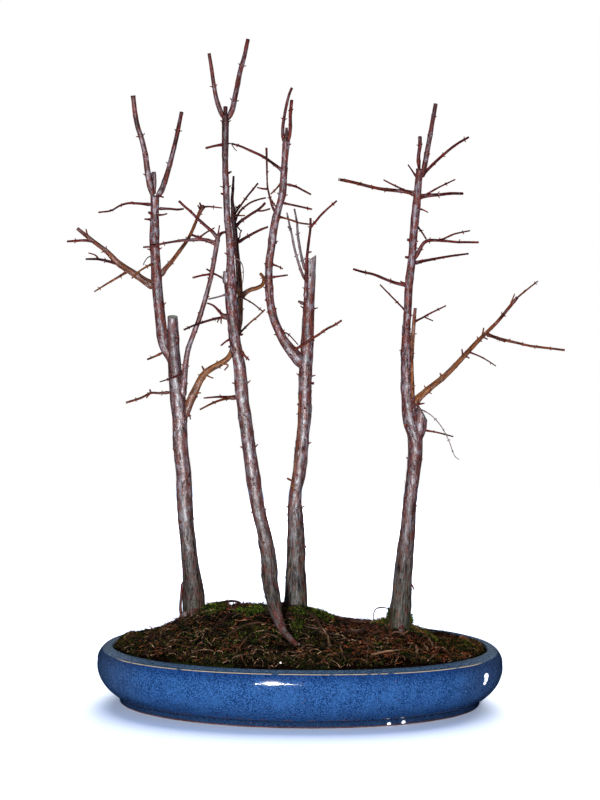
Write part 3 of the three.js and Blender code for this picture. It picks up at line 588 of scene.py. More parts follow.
# A limb ready to be skinned: even stations, a frame at each that turns as little as it can, and its girth
def makeLimb(name, points, radii, looks, offset, collar=0.0, merge=0.0):
    rough = flowing(points, 8)
    total = sum((b - a).length for a, b in zip(rough, rough[1:]))
    thickest = max(radii)
    gap = limbBuild["ring"] * (1.25 if thickest > 4 else 1)
    stations, total = evenly(rough, max(4, round(total / gap)))
    last = len(stations) - 1
    ways = [(stations[min(i + 1, last)] - stations[max(i - 1, 0)]).normalized() for i in range(last + 1)]
    side = ways[0].orthogonal().normalized()
    sides = []
    for way in ways:
        side = (side - way * side.dot(way)).normalized()
        sides.append(side)
    return {"name": name, "stations": stations, "ways": ways, "sides": sides, "total": total,
            "radii": radii, "looks": looks, "offset": offset, "collar": collar, "merge": merge,
            "pitch": 8.5 + 3.4 * radiusAt(radii, 0.5), "around": sidesFor(thickest)}


def sidesFor(thickest):
    for limit, count in ((4, 28), (2.4, 18), (1.4, 12)):
        if thickest > limit:
            return count
    return 8


# Thickness at one station in one direction: taper, collar, swollen nodes, lumps and long ridges of bark
def barkRadius(limb, share, across, deep):
    radius = radiusAt(limb["radii"], share)
    along = share * limb["total"]
    offset = limb["offset"]
    if limb["collar"]:
        swell = limbBuild["collar"] * (1 - limb["merge"])
        radius *= 1 + swell * math.exp(-max(0, along - limb["collar"]) / (1.3 * radius))
        radius *= 0.4 + 0.6 * smoothStep(0, (1.1 + 2.6 * limb["merge"]) * limb["collar"], along)
    fromNode = (along + offset) % limb["pitch"]
    fromNode = min(fromNode, limb["pitch"] - fromNode)
    thick = min(1, radius / 6)
    swell = limbBuild["nodeSwell"] * (1 - 0.75 * thick)
    radius *= 1 + swell * math.exp(-(fromNode / (0.5 + 0.4 * radius)) ** 2)
    lump = noise.noise(Vector((across * 0.8, deep * 0.8, along * 0.10 + offset)))
    ridge = noise.noise(Vector((across * 2.6, deep * 2.6, along * 0.035 + offset)))
    fibre = noise.noise(Vector((across * 6, deep * 6, along * 0.07 - offset)))
    return radius * (1 + 0.07 * lump) + thick * (0.38 * ridge + 0.26 * fibre) + 0.08 * (1 - thick)


# The skin of a limb: a unit cylinder, cut into rings, whose rings are carried to the stations
def limbSkin(limb, looksOf, cutEnd=True):
    stations, last = limb["stations"], len(limb["stations"]) - 1
    shape = bmesh.new()
    bmesh.ops.create_cone(shape, cap_ends=True, segments=limb["around"], radius1=1, radius2=1, depth=1)
    uprights = [edge for edge in shape.edges if abs(edge.verts[0].co.z - edge.verts[1].co.z) > 0.5]
    bmesh.ops.subdivide_edges(shape, edges=uprights, cuts=last - 1, use_grid_fill=True)
    ends = [face for face in shape.faces if len(face.verts) == limb["around"]]
    for end in ends:
        if end.calc_center_median().z > 0 and cutEnd:
            bmesh.ops.inset_individual(shape, faces=[end], thickness=0.2)
            end.material_index = 1
        bmesh.ops.poke(shape, faces=[end])
    grain = shape.verts.layers.float_vector.new("grain")
    habit = shape.verts.layers.float_vector.new("habit")
    for vert in shape.verts:
        across, deep = vert.co.x, vert.co.y
        k = round((vert.co.z + 0.5) * last)
        share = k / last
        reach = math.hypot(across, deep)
        if reach > 0.9:
            radius = barkRadius(limb, share, across, deep)
        else:
            radius = radiusAt(limb["radii"], share)
        side, way = limb["sides"][k], limb["ways"][k]
        sink = 0.12 * radius if k == last and reach < 0.9 else 0
        vert.co = stations[k] + (side * across + way.cross(side) * deep) * radius - way * sink
        vert[grain] = (across * radius, deep * radius, share * limb["total"] + 40 * limb["offset"])
        vert[habit] = looksOf(radius, share)
    return shape


# A bud spur: a short tapering stem with a pale egg of a bud on its end
def addSpur(shape, base, way, length, radius, look):
    turn = Vector((0, 0, 1)).rotation_difference(way).to_matrix().to_4x4()
    stem = bmesh.ops.create_cone(shape, cap_ends=True, segments=6, radius1=radius * 1.25,
                                 radius2=radius * 0.75, depth=length)["verts"]
    bmesh.ops.translate(shape, verts=stem, vec=(0, 0, length / 2))
    egg = bmesh.ops.create_icosphere(shape, subdivisions=1, radius=radius)["verts"]
    bmesh.ops.scale(shape, verts=egg, vec=(1, 1, 1.35))
    bmesh.ops.translate(shape, verts=egg, vec=(0, 0, length))
    for vert in egg:
        for face in vert.link_faces:
            face.material_index = 2
    grain = shape.verts.layers.float_vector["grain"]
    habit = shape.verts.layers.float_vector["habit"]
    for vert in stem + egg:
        vert[grain] = vert.co + Vector((0, 0, 30 * length))
        vert[habit] = look
    bmesh.ops.rotate(shape, verts=stem + egg, matrix=turn)
    bmesh.ops.translate(shape, verts=stem + egg, vec=base)


# A flake of bark that has come loose at both ends
def addFlake(shape, limb, share, angle, length, width, lift, look):
    flake = bmesh.new()
    grain = flake.verts.layers.float_vector.new("grain")
    habit = flake.verts.layers.float_vector.new("habit")
    bmesh.ops.create_grid(flake, x_segments=2, y_segments=6, size=1)
    last = len(limb["stations"]) - 1
    for vert in flake.verts:
        u, v = vert.co.x, vert.co.y
        k = min(last, max(0, round(share * last + v * length / 2 * last / limb["total"])))
        radius = barkRadius(limb, k / last, math.cos(angle), math.sin(angle))
        turn = angle + u * width * (1 - 0.5 * v * v) / 2 / radius
        side, way = limb["sides"][k], limb["ways"][k]
        out = side * math.cos(turn) + way.cross(side) * math.sin(turn)
        vert.co = limb["stations"][k] + out * (radius + 0.1 + lift * max(0, v) ** 2 + 0.4 * lift * v * v)
        vert[grain] = (turn * radius, 7 * share, v * length)
        vert[habit] = look
    bmesh.ops.solidify(flake, geom=flake.faces, thickness=0.22)
    bmesh.ops.recalc_face_normals(flake, faces=flake.faces)
    join(shape, flake)


# An empty shape whose points carry the grain and habit that the bark reads
def grownShape():
    shape = bmesh.new()
    for key in ("grain", "habit"):
        shape.verts.layers.float_vector.new(key)
    return shape


def join(shape, part):
    spare = bpy.data.meshes.new("spare")
    part.to_mesh(spare)
    part.free()
    shape.from_mesh(spare)
    bpy.data.meshes.remove(spare)


# Bark: grain runs along each limb, and habit holds a limb's thickness, how golden and how dark it is

def barkFinish():
    finish, grain = newFinish("redwood_bark", "grain", Specular_IOR_Level=0.0, Coat_Roughness=0.56,
                              Coat_IOR=2.2)
    place = grain.node("ShaderNodeTexCoord", {}, {}, 3)
    habit = grain.node("ShaderNodeAttribute", {"attribute_name": "habit"}, {}, 1)
    girth, gold, dark = habit.part(0), habit.part(1), habit.part(2)
    high = place.part(2) * 1000
    strand = grain.stretched((0.85, 0.85, 0.085)).cloud(1.0, 6.0, 0.62, 0.3)
    hair = grain.stretched((3.0, 3.0, 0.30)).cloud(1.0, 3.0, 0.6)
    mottle = grain.stretched((0.30, 0.30, 0.16)).cloud(1.0, 4.0, 0.6)
    patch = place.cloud(48, 3.0)
    stringy = (strand * 0.65 + hair * 0.35).rise(0.41, 0.59)
    limbness = girth.rise(0.9, 2.6)
    oldness = girth.rise(3.6, 5.6) * high.rise(190, 90)
    # silvery lavender patches: partly the bark's thin papery skin, partly painted sheen of bright light on
    # the bark; the same mask also sets the real coat sheen below
    paperAndSheen = mottle.rise(0.49, 0.60)
    twig = stringy.tint((0.004, 0.0005, 0.0004), (0.070, 0.008, 0.006))
    twig = (paperAndSheen * 0.2).tint(twig, (0.060, 0.026, 0.028))
    limb = stringy.tint((0.006, 0.0008, 0.0007), (0.086, 0.018, 0.016))
    limb = (paperAndSheen * 0.75).tint(limb, stringy.tint((0.020, 0.013, 0.014), (0.138, 0.114, 0.128)))
    rust = stringy.tint((0.010, 0.0015, 0.001), (0.092, 0.018, 0.008))
    limb = (mottle.rise(0.50, 0.40) * 0.85).tint(limb, rust)
    old = stringy.tint((0.002, 0.0016, 0.0011), (0.057, 0.046, 0.034))
    old = (paperAndSheen * 0.5).tint(old, stringy.tint((0.006, 0.005, 0.006), (0.056, 0.046, 0.054)))
    streak = stringy.tint((0.006, 0.0016, 0.0014), (0.080, 0.022, 0.016))
    old = (mottle.rise(0.47, 0.40) * 0.7).tint(old, streak)
    # near black along the lowest grooves of the strands, which are the lowest in the bark's relief: partly
    # the fissures' own colour, partly painted shade in them
    old = (strand.rise(0.47, 0.38) * 0.75).tint(old, (0.0025, 0.0015, 0.0012))
    colour = oldness.tint(limbness.tint(twig, limb), old)
    golden = stringy.tint((0.024, 0.0055, 0.0012), (0.150, 0.054, 0.012))
    golden = (paperAndSheen * 0.2).tint(golden, (0.120, 0.074, 0.048))
    colour = (gold * (0.65 + mottle * 0.5)).tint(colour, golden)
    colour = (dark * 0.9).tint(colour, stringy.tint((0.004, 0.0012, 0.0012), (0.026, 0.0085, 0.0085)))
    grey = (dark * -1).rise(0.1, 1)
    colour = (grey * 0.8).tint(colour, stringy.tint((0.040, 0.030, 0.029), (0.150, 0.125, 0.125)))
    film = (high + patch * 46).rise(118, 92) * stringy.rise(1.4, 0.1) * mottle.rise(0.40, 0.56)
    colour = (film * 0.5).tint(colour, (0.014, 0.019, 0.005))
    # pale dots on the younger bark are painted glints of light
    glintDots = grain.stretched((0.42, 0.42, 0.26)).cells(1.0).rise(0.15, 0.09) * mottle.rise(0.44, 0.5)
    colour = (glintDots * (1 - oldness) * 0.5).tint(colour, (0.22, 0.17, 0.16))
    fleck = grain.stretched((1.9, 1.9, 0.9)).cloud(1.0, 4.0, 0.7)
    height = strand * 0.8 + hair * 0.3 + mottle * 0.3 + fleck * 0.3
    middle = 0.45 + high.band(168, 45, 105) * 0.55
    leftShine = 0.7 + (place.part(0) * 1000).rise(90, -110) * 0.5
    sheen = (0.06 + paperAndSheen * 0.35 + fleck.rise(0.44, 0.57) * 0.75) * (1 - oldness * 0.8)
    sheen = sheen * (0.1 + limbness * 0.9) * middle * leftShine
    sheen = sheen * (1 - gold * 0.8) * (1 - dark * 0.5)
    return applyLook(finish, colour, 0.8, height.relief(0.0005, 0.55), Coat_Weight=sheen)


def cutWoodFinish():
    finish, grain = newFinish("pruned_wood", "grain", Specular_IOR_Level=0.25)
    fromPith = grain.stretched((1.0, 1.0, 0.0)).length()
    rings = fromPith.maths("SINE", fromPith * 9, 0.0) * 0.5 + 0.5
    check = grain.cloud(1.4, 4.0, 0.6)
    colour = rings.tint((0.09, 0.09, 0.06), (0.16, 0.17, 0.12))
    colour = check.rise(0.46, 0.62).tint(colour, (0.045, 0.070, 0.045))
    return applyLook(finish, colour, 0.8, (rings * 0.3 + check).relief(0.0003, 0.5))


def budFinish():
    finish, place = newFinish("bud_scales", Specular_IOR_Level=0.4)
    scale = place.cloud(1300, 3.0)
    colour = scale.rise(0.42, 0.66).tint((0.028, 0.005, 0.002), (0.22, 0.075, 0.028))
    return applyLook(finish, colour, 0.45, scale.relief(0.0002, 0.5))


# Trees, seen from the front: the tree is one limb after another, each with its name, the limb it grows
# from, its middle line as [x, height] in mm, thicknesses from start to tip, and how far it reaches back

farLeftTree = {
    "plane": 30,  # mm behind the middle of the pot
    "seed": 11,
    "limbs": [
        ["trunk", "", [[-87, 34], [-86.5, 50], [-86, 64], [-86.5, 78], [-88, 95], [-91, 120], [-94, 148],
            [-95, 175], [-98, 200], [-99, 225], [-102, 250], [-104, 276], [-105, 305]],
            [9.8, 9.7, 8.8, 6.7, 6.2, 6.6, 6.2, 5.8, 6, 6.4, 5.4, 5, 4], 0],
        ["leader", "trunk", [[-104, 262], [-108, 273], [-112, 282], [-114, 295], [-116, 312], [-118, 332],
            [-119, 346], [-120, 362], [-120, 381], [-120, 400]],
            [4.4, 4.5, 4.4, 4.3, 4.2, 4.3, 3.8, 4, 3.2, 3.5], 8],
        ["left_top", "leader", [[-121, 398], [-123, 405], [-126, 420], [-128, 434], [-131, 446],
            [-134, 455], [-136, 464], [-138, 480]], [2.8, 2.3, 2, 1.8], -14],
        ["right_top", "leader", [[-119, 398], [-115, 404], [-112, 412], [-109, 422], [-106, 434],
            [-103, 447], [-101, 457], [-99, 467]], [2.6, 2, 1.8, 1.5], 18],
        ["dead_top", "leader", [[-120, 402], [-121, 419]], [2.2, 1.7], 4],
        ["left_twig", "leader", [[-122, 393], [-134, 394], [-141.5, 394], [-148, 392], [-155, 388],
            [-165, 386.5]], [1.1, 0.6], 22],
        ["right_twig", "leader", [[-118, 390], [-107.8, 389.9], [-102, 389.4], [-97, 390]], [1, 0.8], -9],
        ["left_limb", "leader", [[-118, 327], [-126, 331], [-135, 337], [-143, 342], [-150, 347],
            [-158, 355], [-166, 361], [-172, 365.5], [-182, 373.5]], [3, 2.8, 2.6, 2.4, 1.8, 1.6, 1.3],
            -24],
        ["left_limb_a", "left_limb", [[-169, 363.5], [-175, 364], [-190, 363]], [1.2, 0.8], 10],
        ["left_limb_b", "left_limb", [[-148, 345], [-155, 347], [-165, 349], [-175, 349]], [1.3, 0.7], -14],
        ["left_limb_c", "left_limb", [[-141, 340], [-147, 336], [-157, 330], [-168, 323]], [1.1, 0.5], 16],
        ["left_limb_d", "left_limb_b", [[-165, 349], [-167, 352], [-173, 354]], [0.7, 0.4], -4],
        ["orange_twig", "leader", [[-121, 346], [-127, 343], [-133, 339], [-138, 334]], [0.9, 0.6],
            [-3, -12, -17, -22]],
        ["right_limb", "leader", [[-116, 335], [-112, 341], [-106, 348], [-100, 356], [-95, 363],
            [-91, 370], [-88, 377], [-84, 387], [-81, 392]], [2.2, 1.7, 1.5, 1.3, 1.2, 1.9], 34],
        ["right_limb_a", "right_limb", [[-82, 391], [-78, 392], [-66, 391]], [0.8, 0.5], 8],
        ["slender", "trunk", [[-98, 236], [-96, 246], [-95, 257], [-94, 268], [-92, 279], [-88, 290],
            [-84, 301], [-80, 314], [-77, 325], [-74, 338], [-72, 350], [-70, 362], [-69, 370]],
            [2.6, 2.4, 2, 1.9, 1.8, 1.8, 2], [0, -2, -4, -6, -8, -11, -14, -17, -20, -23, -26, -28, -30]],
        ["slender_left", "slender", [[-70, 362], [-75.5, 364.3], [-80, 365.5], [-85, 365.6], [-91.5, 365.1],
            [-96.3, 364.9], [-106, 363.4], [-114.8, 361.7], [-120, 360], [-129, 359]],
            [1.6, 1.4, 1.2, 0.9, 0.8, 0.7], 10],
        ["slender_left_b", "slender_left", [[-79, 365.3], [-85, 367.4], [-90, 369.2]], [1, 0.9], 4],
        ["slender_left_a", "slender_left", [[-84, 367], [-79, 371], [-72, 375]], [0.7, 0.5], -10],
        ["slender_up", "slender", [[-69, 367], [-70.7, 368.5], [-73, 371.3], [-77.2, 374.9], [-81.2, 378.4],
            [-86, 382.8], [-91.7, 388.3], [-96.5, 392.3], [-100.6, 396.2]], [1.4, 1.2, 1, 0.9], -14],
        ["slender_right", "slender", [[-69, 368], [-66, 371], [-61, 372]], [1.2, 0.9], 16],
        ["slender_spike", "slender", [[-69, 369], [-68, 377]], [0.6, 0.4], 6],
        ["slender_twig_a", "slender", [[-74, 338], [-81, 337], [-89, 335]], [0.8, 0.7], -9],
        ["slender_twig_b", "slender", [[-74, 339], [-69, 337], [-63, 333]], [0.8, 0.6], 9],
        ["slender_twig_c", "slender", [[-73, 339], [-78, 342]], [0.7, 0.6], 4],
        ["golden", "trunk", [[-97, 216], [-94, 226], [-91, 234], [-87, 243], [-82, 253.5], [-78, 259],
            [-73, 262.5], [-66, 266.5], [-60, 271], [-56, 279], [-53, 290], [-51, 300], [-51, 310],
            [-51, 320]], [3.6, 3.4, 3, 2.6, 2.2, 2.1, 2.2, 2.5], 12],
        ["golden_top", "golden", [[-51, 316], [-51.6, 330], [-53, 348], [-54, 356], [-55, 365.5],
            [-55.8, 375], [-57, 383], [-57.3, 391], [-58, 397.5], [-57.5, 405], [-57, 416.5]],
            [2.6, 2.3, 2, 2.1, 1.9, 1.2, 0.8], 14],
        ["golden_knot", "golden", [[-51, 318], [-47, 323], [-42, 326], [-38, 327], [-33, 330], [-32, 335],
            [-35, 339]], [2.2, 1.8, 1.5, 1.1], 6],
        ["golden_a", "golden", [[-50, 320], [-41, 315], [-32, 308]], [0.6, 0.5], 7],
        ["golden_b", "golden", [[-52, 290], [-42, 300], [-37, 304], [-31, 310]], [0.8, 0.6], 4],
        ["golden_c", "golden_top", [[-57, 384], [-54, 389], [-50.5, 394], [-45.5, 401], [-41, 406.5],
            [-37.5, 411]], [0.8, 0.7], 12],
        ["golden_d", "golden_top", [[-56, 379], [-53.5, 385.5], [-50.8, 389.5], [-47.6, 392.4],
            [-43, 395.6], [-37, 398], [-31, 399.5]], [0.9, 0.6], -6],
        ["golden_e", "golden_top", [[-56, 375], [-51.5, 380], [-46, 384], [-42, 386.8], [-38, 389.3],
            [-34, 392.5], [-31.6, 395.3]], [1.3, 0.9], 12],
        ["golden_f", "golden_e", [[-40, 388], [-38, 389], [-34, 389], [-30, 390], [-27.6, 390.8]],
            [0.8, 0.6], 5],
        ["golden_g", "golden_top", [[-54, 363.5], [-51.4, 364.7], [-47.4, 367.2], [-41.8, 370.4],
            [-35.4, 373.7], [-29, 376.3]], [1.3, 0.8], 4],
        ["golden_h", "golden_top", [[-57, 385.5], [-51.6, 385.1], [-47.6, 385.2]], [0.7, 0.5], -5],
        ["golden_i", "golden", [[-66, 266.5], [-60, 265], [-63, 261]], [0.7, 0.5], -5],
        ["front_twig", "trunk", [[-99, 257], [-106, 254], [-115, 251]], [0.8, 0.4], [-4, -10, -15]],
        ["low_twig", "trunk", [[-104, 243], [-115, 242], [-122, 242], [-130, 238], [-142, 234]], [1, 0.8],
            -18],
        ["low_spur", "leader", [[-112, 275], [-118, 272], [-125, 269]], [0.9, 0.7], 8],
    ],
    "roots": [[40, 26], [130, 22], [215, 28], [285, 22]],  # angle round the trunk and length
}

leaningTree = {
    "plane": -15,  # mm behind the middle of the pot
    "seed": 23,
    "limbs": [
        ["trunk", "", [[-2, 46], [-6, 50], [-13, 58], [-18, 69], [-21, 81], [-24, 97], [-25, 112],
            [-28, 130], [-33, 150], [-37, 172], [-41, 200], [-44, 220], [-47, 240], [-49, 262], [-53, 285],
            [-55, 303], [-57, 325], [-57, 345], [-58, 362], [-60, 382], [-61, 402], [-62, 425], [-62, 447],
            [-62, 460]],
            [1.8, 2.6, 4.6, 6, 6.4, 5.8, 5.3, 5.4, 5.6, 5.2, 5.2, 4.8, 5.1, 4.4,
             4.3, 4.7, 4.6, 3, 2.7, 2.5, 2.5, 2.3, 2.7, 2.6],
            [-50, -46, -36, -24, -14, -6, 0, 0, 2, 3, 3, 2, 1, 0, 0, 0, 0, 1, 2, 3, 4, 4, 4, 4]],
        ["left_top", "trunk", [[-63, 456], [-66, 463], [-69, 472], [-71, 482], [-73, 495], [-75, 507]],
            [2, 1.7, 1.5, 1.3], -16],
        ["right_top", "trunk", [[-61, 455], [-57, 463], [-55, 472], [-53, 482], [-51, 493], [-48, 504],
            [-45, 518]], [2.3, 2, 1.8, 1.5], 16],
        ["dead_top", "trunk", [[-62, 456], [-62, 466]], [2, 1.7], 2],
        ["twig_a", "trunk", [[-62, 437], [-69, 436], [-77, 434]], [1, 0.8], -10],
        ["spur_node", "trunk", [[-57, 303], [-62, 304], [-65, 307], [-70, 312], [-75, 314]],
            [2.6, 1.2, 0.8, 0.6], -6],
        ["dark_twig", "spur_node", [[-62, 303], [-68, 302], [-75, 300], [-84, 297], [-93, 293]], [1, 0.7],
            -14],
        ["grey_twig", "trunk", [[-57, 322], [-66, 319], [-74, 317]], [0.7, 0.5], 5],
        ["twig_b", "trunk", [[-54, 287], [-59, 285], [-64, 281]], [0.8, 0.6], -8],
        ["twig_c", "trunk", [[-49, 279], [-46, 274], [-42, 270]], [1, 0.7], -6],
        ["twig_d", "trunk", [[-49, 241], [-58, 241], [-66, 241], [-77, 240]], [1.2, 0.5], 12],
        ["twig_e", "trunk", [[-50, 240], [-58, 240], [-68, 237], [-80, 231]], [1.2, 0.6], -14],
        ["callus", "trunk", [[-58, 326], [-60, 332], [-60.5, 339]], [2.2, 2.8, 2], -1],
        ["back_twig", "trunk", [[-45, 226], [-46, 231], [-49, 236]], [1, 0.6], 26],
        ["back_twig_b", "trunk", [[-59, 372], [-59, 377], [-60, 384]], [0.9, 0.5], 22],
    ],
    "roots": [],
}

cutTopTree = {
    "plane": 35,  # mm behind the middle of the pot
    "seed": 37,
    "limbs": [
        ["trunk", "", [[-4, 36], [-4, 52], [-4, 66], [-4, 80], [-4, 97], [-4, 118], [-5, 142], [-5, 160],
            [-2, 180], [0, 202], [2, 226], [2, 250], [3, 275], [4, 300], [5, 328], [6, 360]],
            [10, 10, 9.2, 7.8, 7.2, 6.4, 5.1, 5.6, 5.2, 5.2, 5.2, 5.4, 5, 4.3, 4.3, 4], 0],
        ["left_limb", "trunk", [[2, 262], [-5, 272], [-11, 279], [-16, 286], [-20, 294], [-24, 304],
            [-27, 318], [-28, 333], [-28, 346], [-26, 362], [-24, 378], [-21, 391], [-18, 402], [-17, 416],
            [-16, 432], [-15, 446]], [5, 4.4, 3.4, 3.3, 3.2, 3.1, 3.1, 3.2, 2.7, 3, 2.5, 2.8], -18],
        ["top_left", "left_limb", [[-17, 443], [-18, 454], [-17, 464], [-15, 475], [-13, 483], [-11, 488]],
            [1.5, 1.2, 1], -8],
        ["top_right", "left_limb", [[-14, 443], [-12, 455], [-12, 467], [-11, 478]], [1.6, 1.4, 1.3], 10],
        ["top_stub", "left_limb", [[-15, 446], [-15, 456]], [1.4, 1], 2],
        ["arc", "left_limb", [[-17, 421], [-25, 427], [-34, 433], [-45, 438], [-52, 441], [-59, 443]],
            [1.2, 1, 0.7], 12],
        ["upright_twig", "left_limb", [[-22, 388], [-23.6, 389.4], [-26, 393.3], [-27.3, 398], [-28.6, 403],
            [-29.8, 408.5], [-30.3, 417.3], [-30.5, 426], [-31, 440]], [1, 0.6, 0.9], -8],
        ["twig_a", "left_limb", [[-18, 413], [-23, 407], [-27, 403]], [0.7, 0.6], -5],
        ["twig_b", "upright_twig", [[-29, 407], [-33, 407], [-38, 408]], [0.8, 0.5], 6],
        ["twig_c", "left_limb", [[-15, 411], [-7, 409], [-1, 406], [5, 403]], [0.9, 0.7], 12],
        ["twig_d", "left_limb", [[-18, 396], [-8, 394], [6, 391]], [0.8, 0.7], -14],
        ["twig_e", "left_limb", [[-22, 385], [-17, 384], [-10, 382], [-4, 380], [4, 379]], [0.8, 0.6], 10],
        ["twig_f", "left_limb", [[-27, 336], [-20, 337], [-13, 338]], [0.8, 0.6], -9],
        ["twig_g", "left_limb", [[-27, 347], [-21, 345], [-17, 343]], [0.8, 0.5], 8],
        ["twig_h", "left_limb", [[-19, 292], [-13, 291], [-4, 282]], [0.6, 0.4], -8],
        ["crossing_twig", "left_limb", [[-9, 277], [-5, 279], [0, 282], [7, 287], [12, 290], [19, 295],
            [25, 298], [31, 302]], [1.2, 1, 0.8], [0, -5, -8, -12, -15, -18, -20, -22]],
        ["red_shoot", "trunk", [[2, 318], [2, 328], [2, 347], [3, 358], [4, 367], [5, 376], [5, 384]],
            [1.7, 1.2, 1.1, 0.9], [-3, -5, -8, -9, -10, -11, -12]],
        ["red_shoot_a", "red_shoot", [[5, 377], [9, 381], [13, 386], [18, 391], [26, 398]], [0.9, 0.7],
            -12],
        ["grey_shoot", "red_shoot", [[1, 334], [-2, 341], [-5, 350], [-8, 361], [-10, 371], [-12, 379],
            [-14, 388]], [1.1, 0.9, 0.6], 14],
        ["grey_shoot_a", "grey_shoot", [[-10, 373], [-13, 377]], [0.8, 0.6], 4],
        ["pale_shoot", "red_shoot", [[1, 342], [-1, 349], [-3, 358], [-5, 370], [-6, 381], [-8, 391]],
            [1.2, 1, 0.7], 24],
        ["stub", "trunk", [[2, 314], [-4, 317]], [1.2, 0.9], 3],
        ["back_twig", "trunk", [[4, 300], [4, 306], [5, 314]], [1, 0.6], 34],
        ["back_twig_b", "left_limb", [[-27, 322], [-27, 328], [-27, 335]], [0.9, 0.5], 28],
    ],
    "roots": [[20, 28], [100, 26], [205, 22], [320, 26]],  # angle round the trunk and length
}

rightTree = {
    "plane": 0,  # mm behind the middle of the pot
    "seed": 41,
    "limbs": [
        ["trunk", "", [[78, 30], [78, 44], [78, 56], [79, 68], [80, 84], [81, 102], [84, 134], [86, 165],
            [89, 192], [89, 210], [85, 225], [83, 245], [82, 265], [81, 290], [82, 312], [83, 333],
            [85, 352], [86, 372], [88, 394], [89, 408], [90, 421]],
            [10, 9.6, 8.6, 7.5, 7.1, 6.3, 5.9, 5, 5.4, 5.8, 6, 5.4, 5.2, 3.8, 3, 3.2, 3.2, 2.9, 3.4, 3, 2.6],
            4],
        ["shoulder", "trunk", [[89, 200], [92, 214], [95, 236]], [5.6, 5.2, 4.6], 1],
        ["dead_strip", "trunk", [[84, 268], [86, 285], [87, 300], [88, 312]], [2.2, 1.6, 1.2], -1],
        ["top", "trunk", [[92, 415], [94, 424], [96, 436], [98, 448], [100, 460], [102, 472]],
            [2.2, 1.9, 1.6], -14],
        ["top_stub", "trunk", [[90, 418], [89, 430], [90, 439], [90, 446]], [1.8, 1.4, 1.5], 6],
        ["top_right", "trunk", [[91, 414], [95, 419], [105, 429], [118, 440], [128, 446]], [1.3, 1.1, 0.9],
            22],
        ["top_left_spur", "trunk", [[88, 414], [81, 424]], [0.8, 0.5], 8],
        ["long_left", "trunk", [[88, 401], [80, 403], [70, 404], [60, 405], [50, 407], [42, 409], [33, 411],
            [27, 412]], [1.7, 1.2, 1.1], -34],
        ["long_left_a", "long_left", [[79, 404], [70, 408], [62, 412]], [0.7, 0.5], 12],
        ["upper_right", "trunk", [[89, 399], [95, 400], [106, 401], [115, 402], [124, 402]], [1.8, 1.2, 1],
            28],
        ["upper_right_a", "upper_right", [[95, 400.5], [104, 406], [118, 413]], [0.8, 0.5], -14],
        ["twig_a", "trunk", [[89, 390], [93, 389], [97, 387]], [0.6, 0.4], -5],
        ["twig_b", "trunk", [[88, 377], [92, 372], [96, 366]], [0.7, 0.6], -13],
        ["fork", "trunk", [[86, 349], [90, 356], [94, 363], [98, 365], [108, 365], [120, 364], [128, 364],
            [137, 364]], [1.8, 1.2, 0.9, 0.8], -26],
        ["fork_a", "fork", [[101, 365], [108, 366], [117, 370], [125, 372], [130, 373]], [0.8, 0.5], 14],
        ["purple_twig", "trunk", [[86, 347], [94, 349], [104, 351], [115, 353], [129, 355]],
            [1.3, 0.9, 0.7], 26],
        ["left_twig", "trunk", [[82, 330], [74, 331], [65, 334], [55, 338], [46, 340], [39, 342]],
            [1.3, 0.8], 28],
        ["left_twig_a", "left_twig", [[79, 331], [76, 333]], [0.7, 0.4], -3],
        ["thin_left", "trunk", [[81, 309], [75, 315], [69, 321], [60, 330]], [0.7, 0.5], -16],
        ["strip_twig", "dead_strip", [[87, 301], [93, 304], [100, 308], [112, 314]], [0.8, 0.5], 12],
        ["strip_twig_a", "strip_twig", [[95, 305], [102, 302]], [0.5, 0.4], -4],
        ["big_right", "trunk", [[84, 233], [89, 239], [100, 249], [110, 257], [119, 266], [128, 276],
            [137, 286], [144, 293], [152, 301], [160, 311], [168, 321]],
            [3.4, 2.6, 2.2, 2, 1.8, 1.4, 1.3, 1.3], 34],
        ["big_right_tip", "big_right", [[167, 320], [174, 326], [184, 334]], [0.8, 0.5], 6],
        ["big_right_a", "big_right", [[144, 292], [153, 289], [161, 287], [170, 285], [179, 283],
            [188, 282], [206, 280]], [1.3, 0.9, 0.8], -30],
        ["big_right_b", "big_right_a", [[149, 290], [159, 286]], [0.8, 0.5], 6],
        ["big_right_c", "big_right", [[130, 278], [138, 275], [144, 272], [152, 267]], [0.7, 0.4], 14],
        ["low_twig", "shoulder", [[95, 216], [107, 214], [119, 211]], [0.7, 0.5], 14],
        ["low_spur", "shoulder", [[89, 236], [96, 237]], [0.8, 0.5], -6],
        ["back_twig", "trunk", [[83, 255], [84, 262], [83, 270], [84, 280]], [1.2, 0.7], 38],
        ["back_twig_b", "trunk", [[82, 318], [83, 325], [84, 333]], [1, 0.6], 32],
    ],
    "roots": [[20, 26], [110, 24], [190, 24], [270, 26]],  # angle round the trunk and length
}


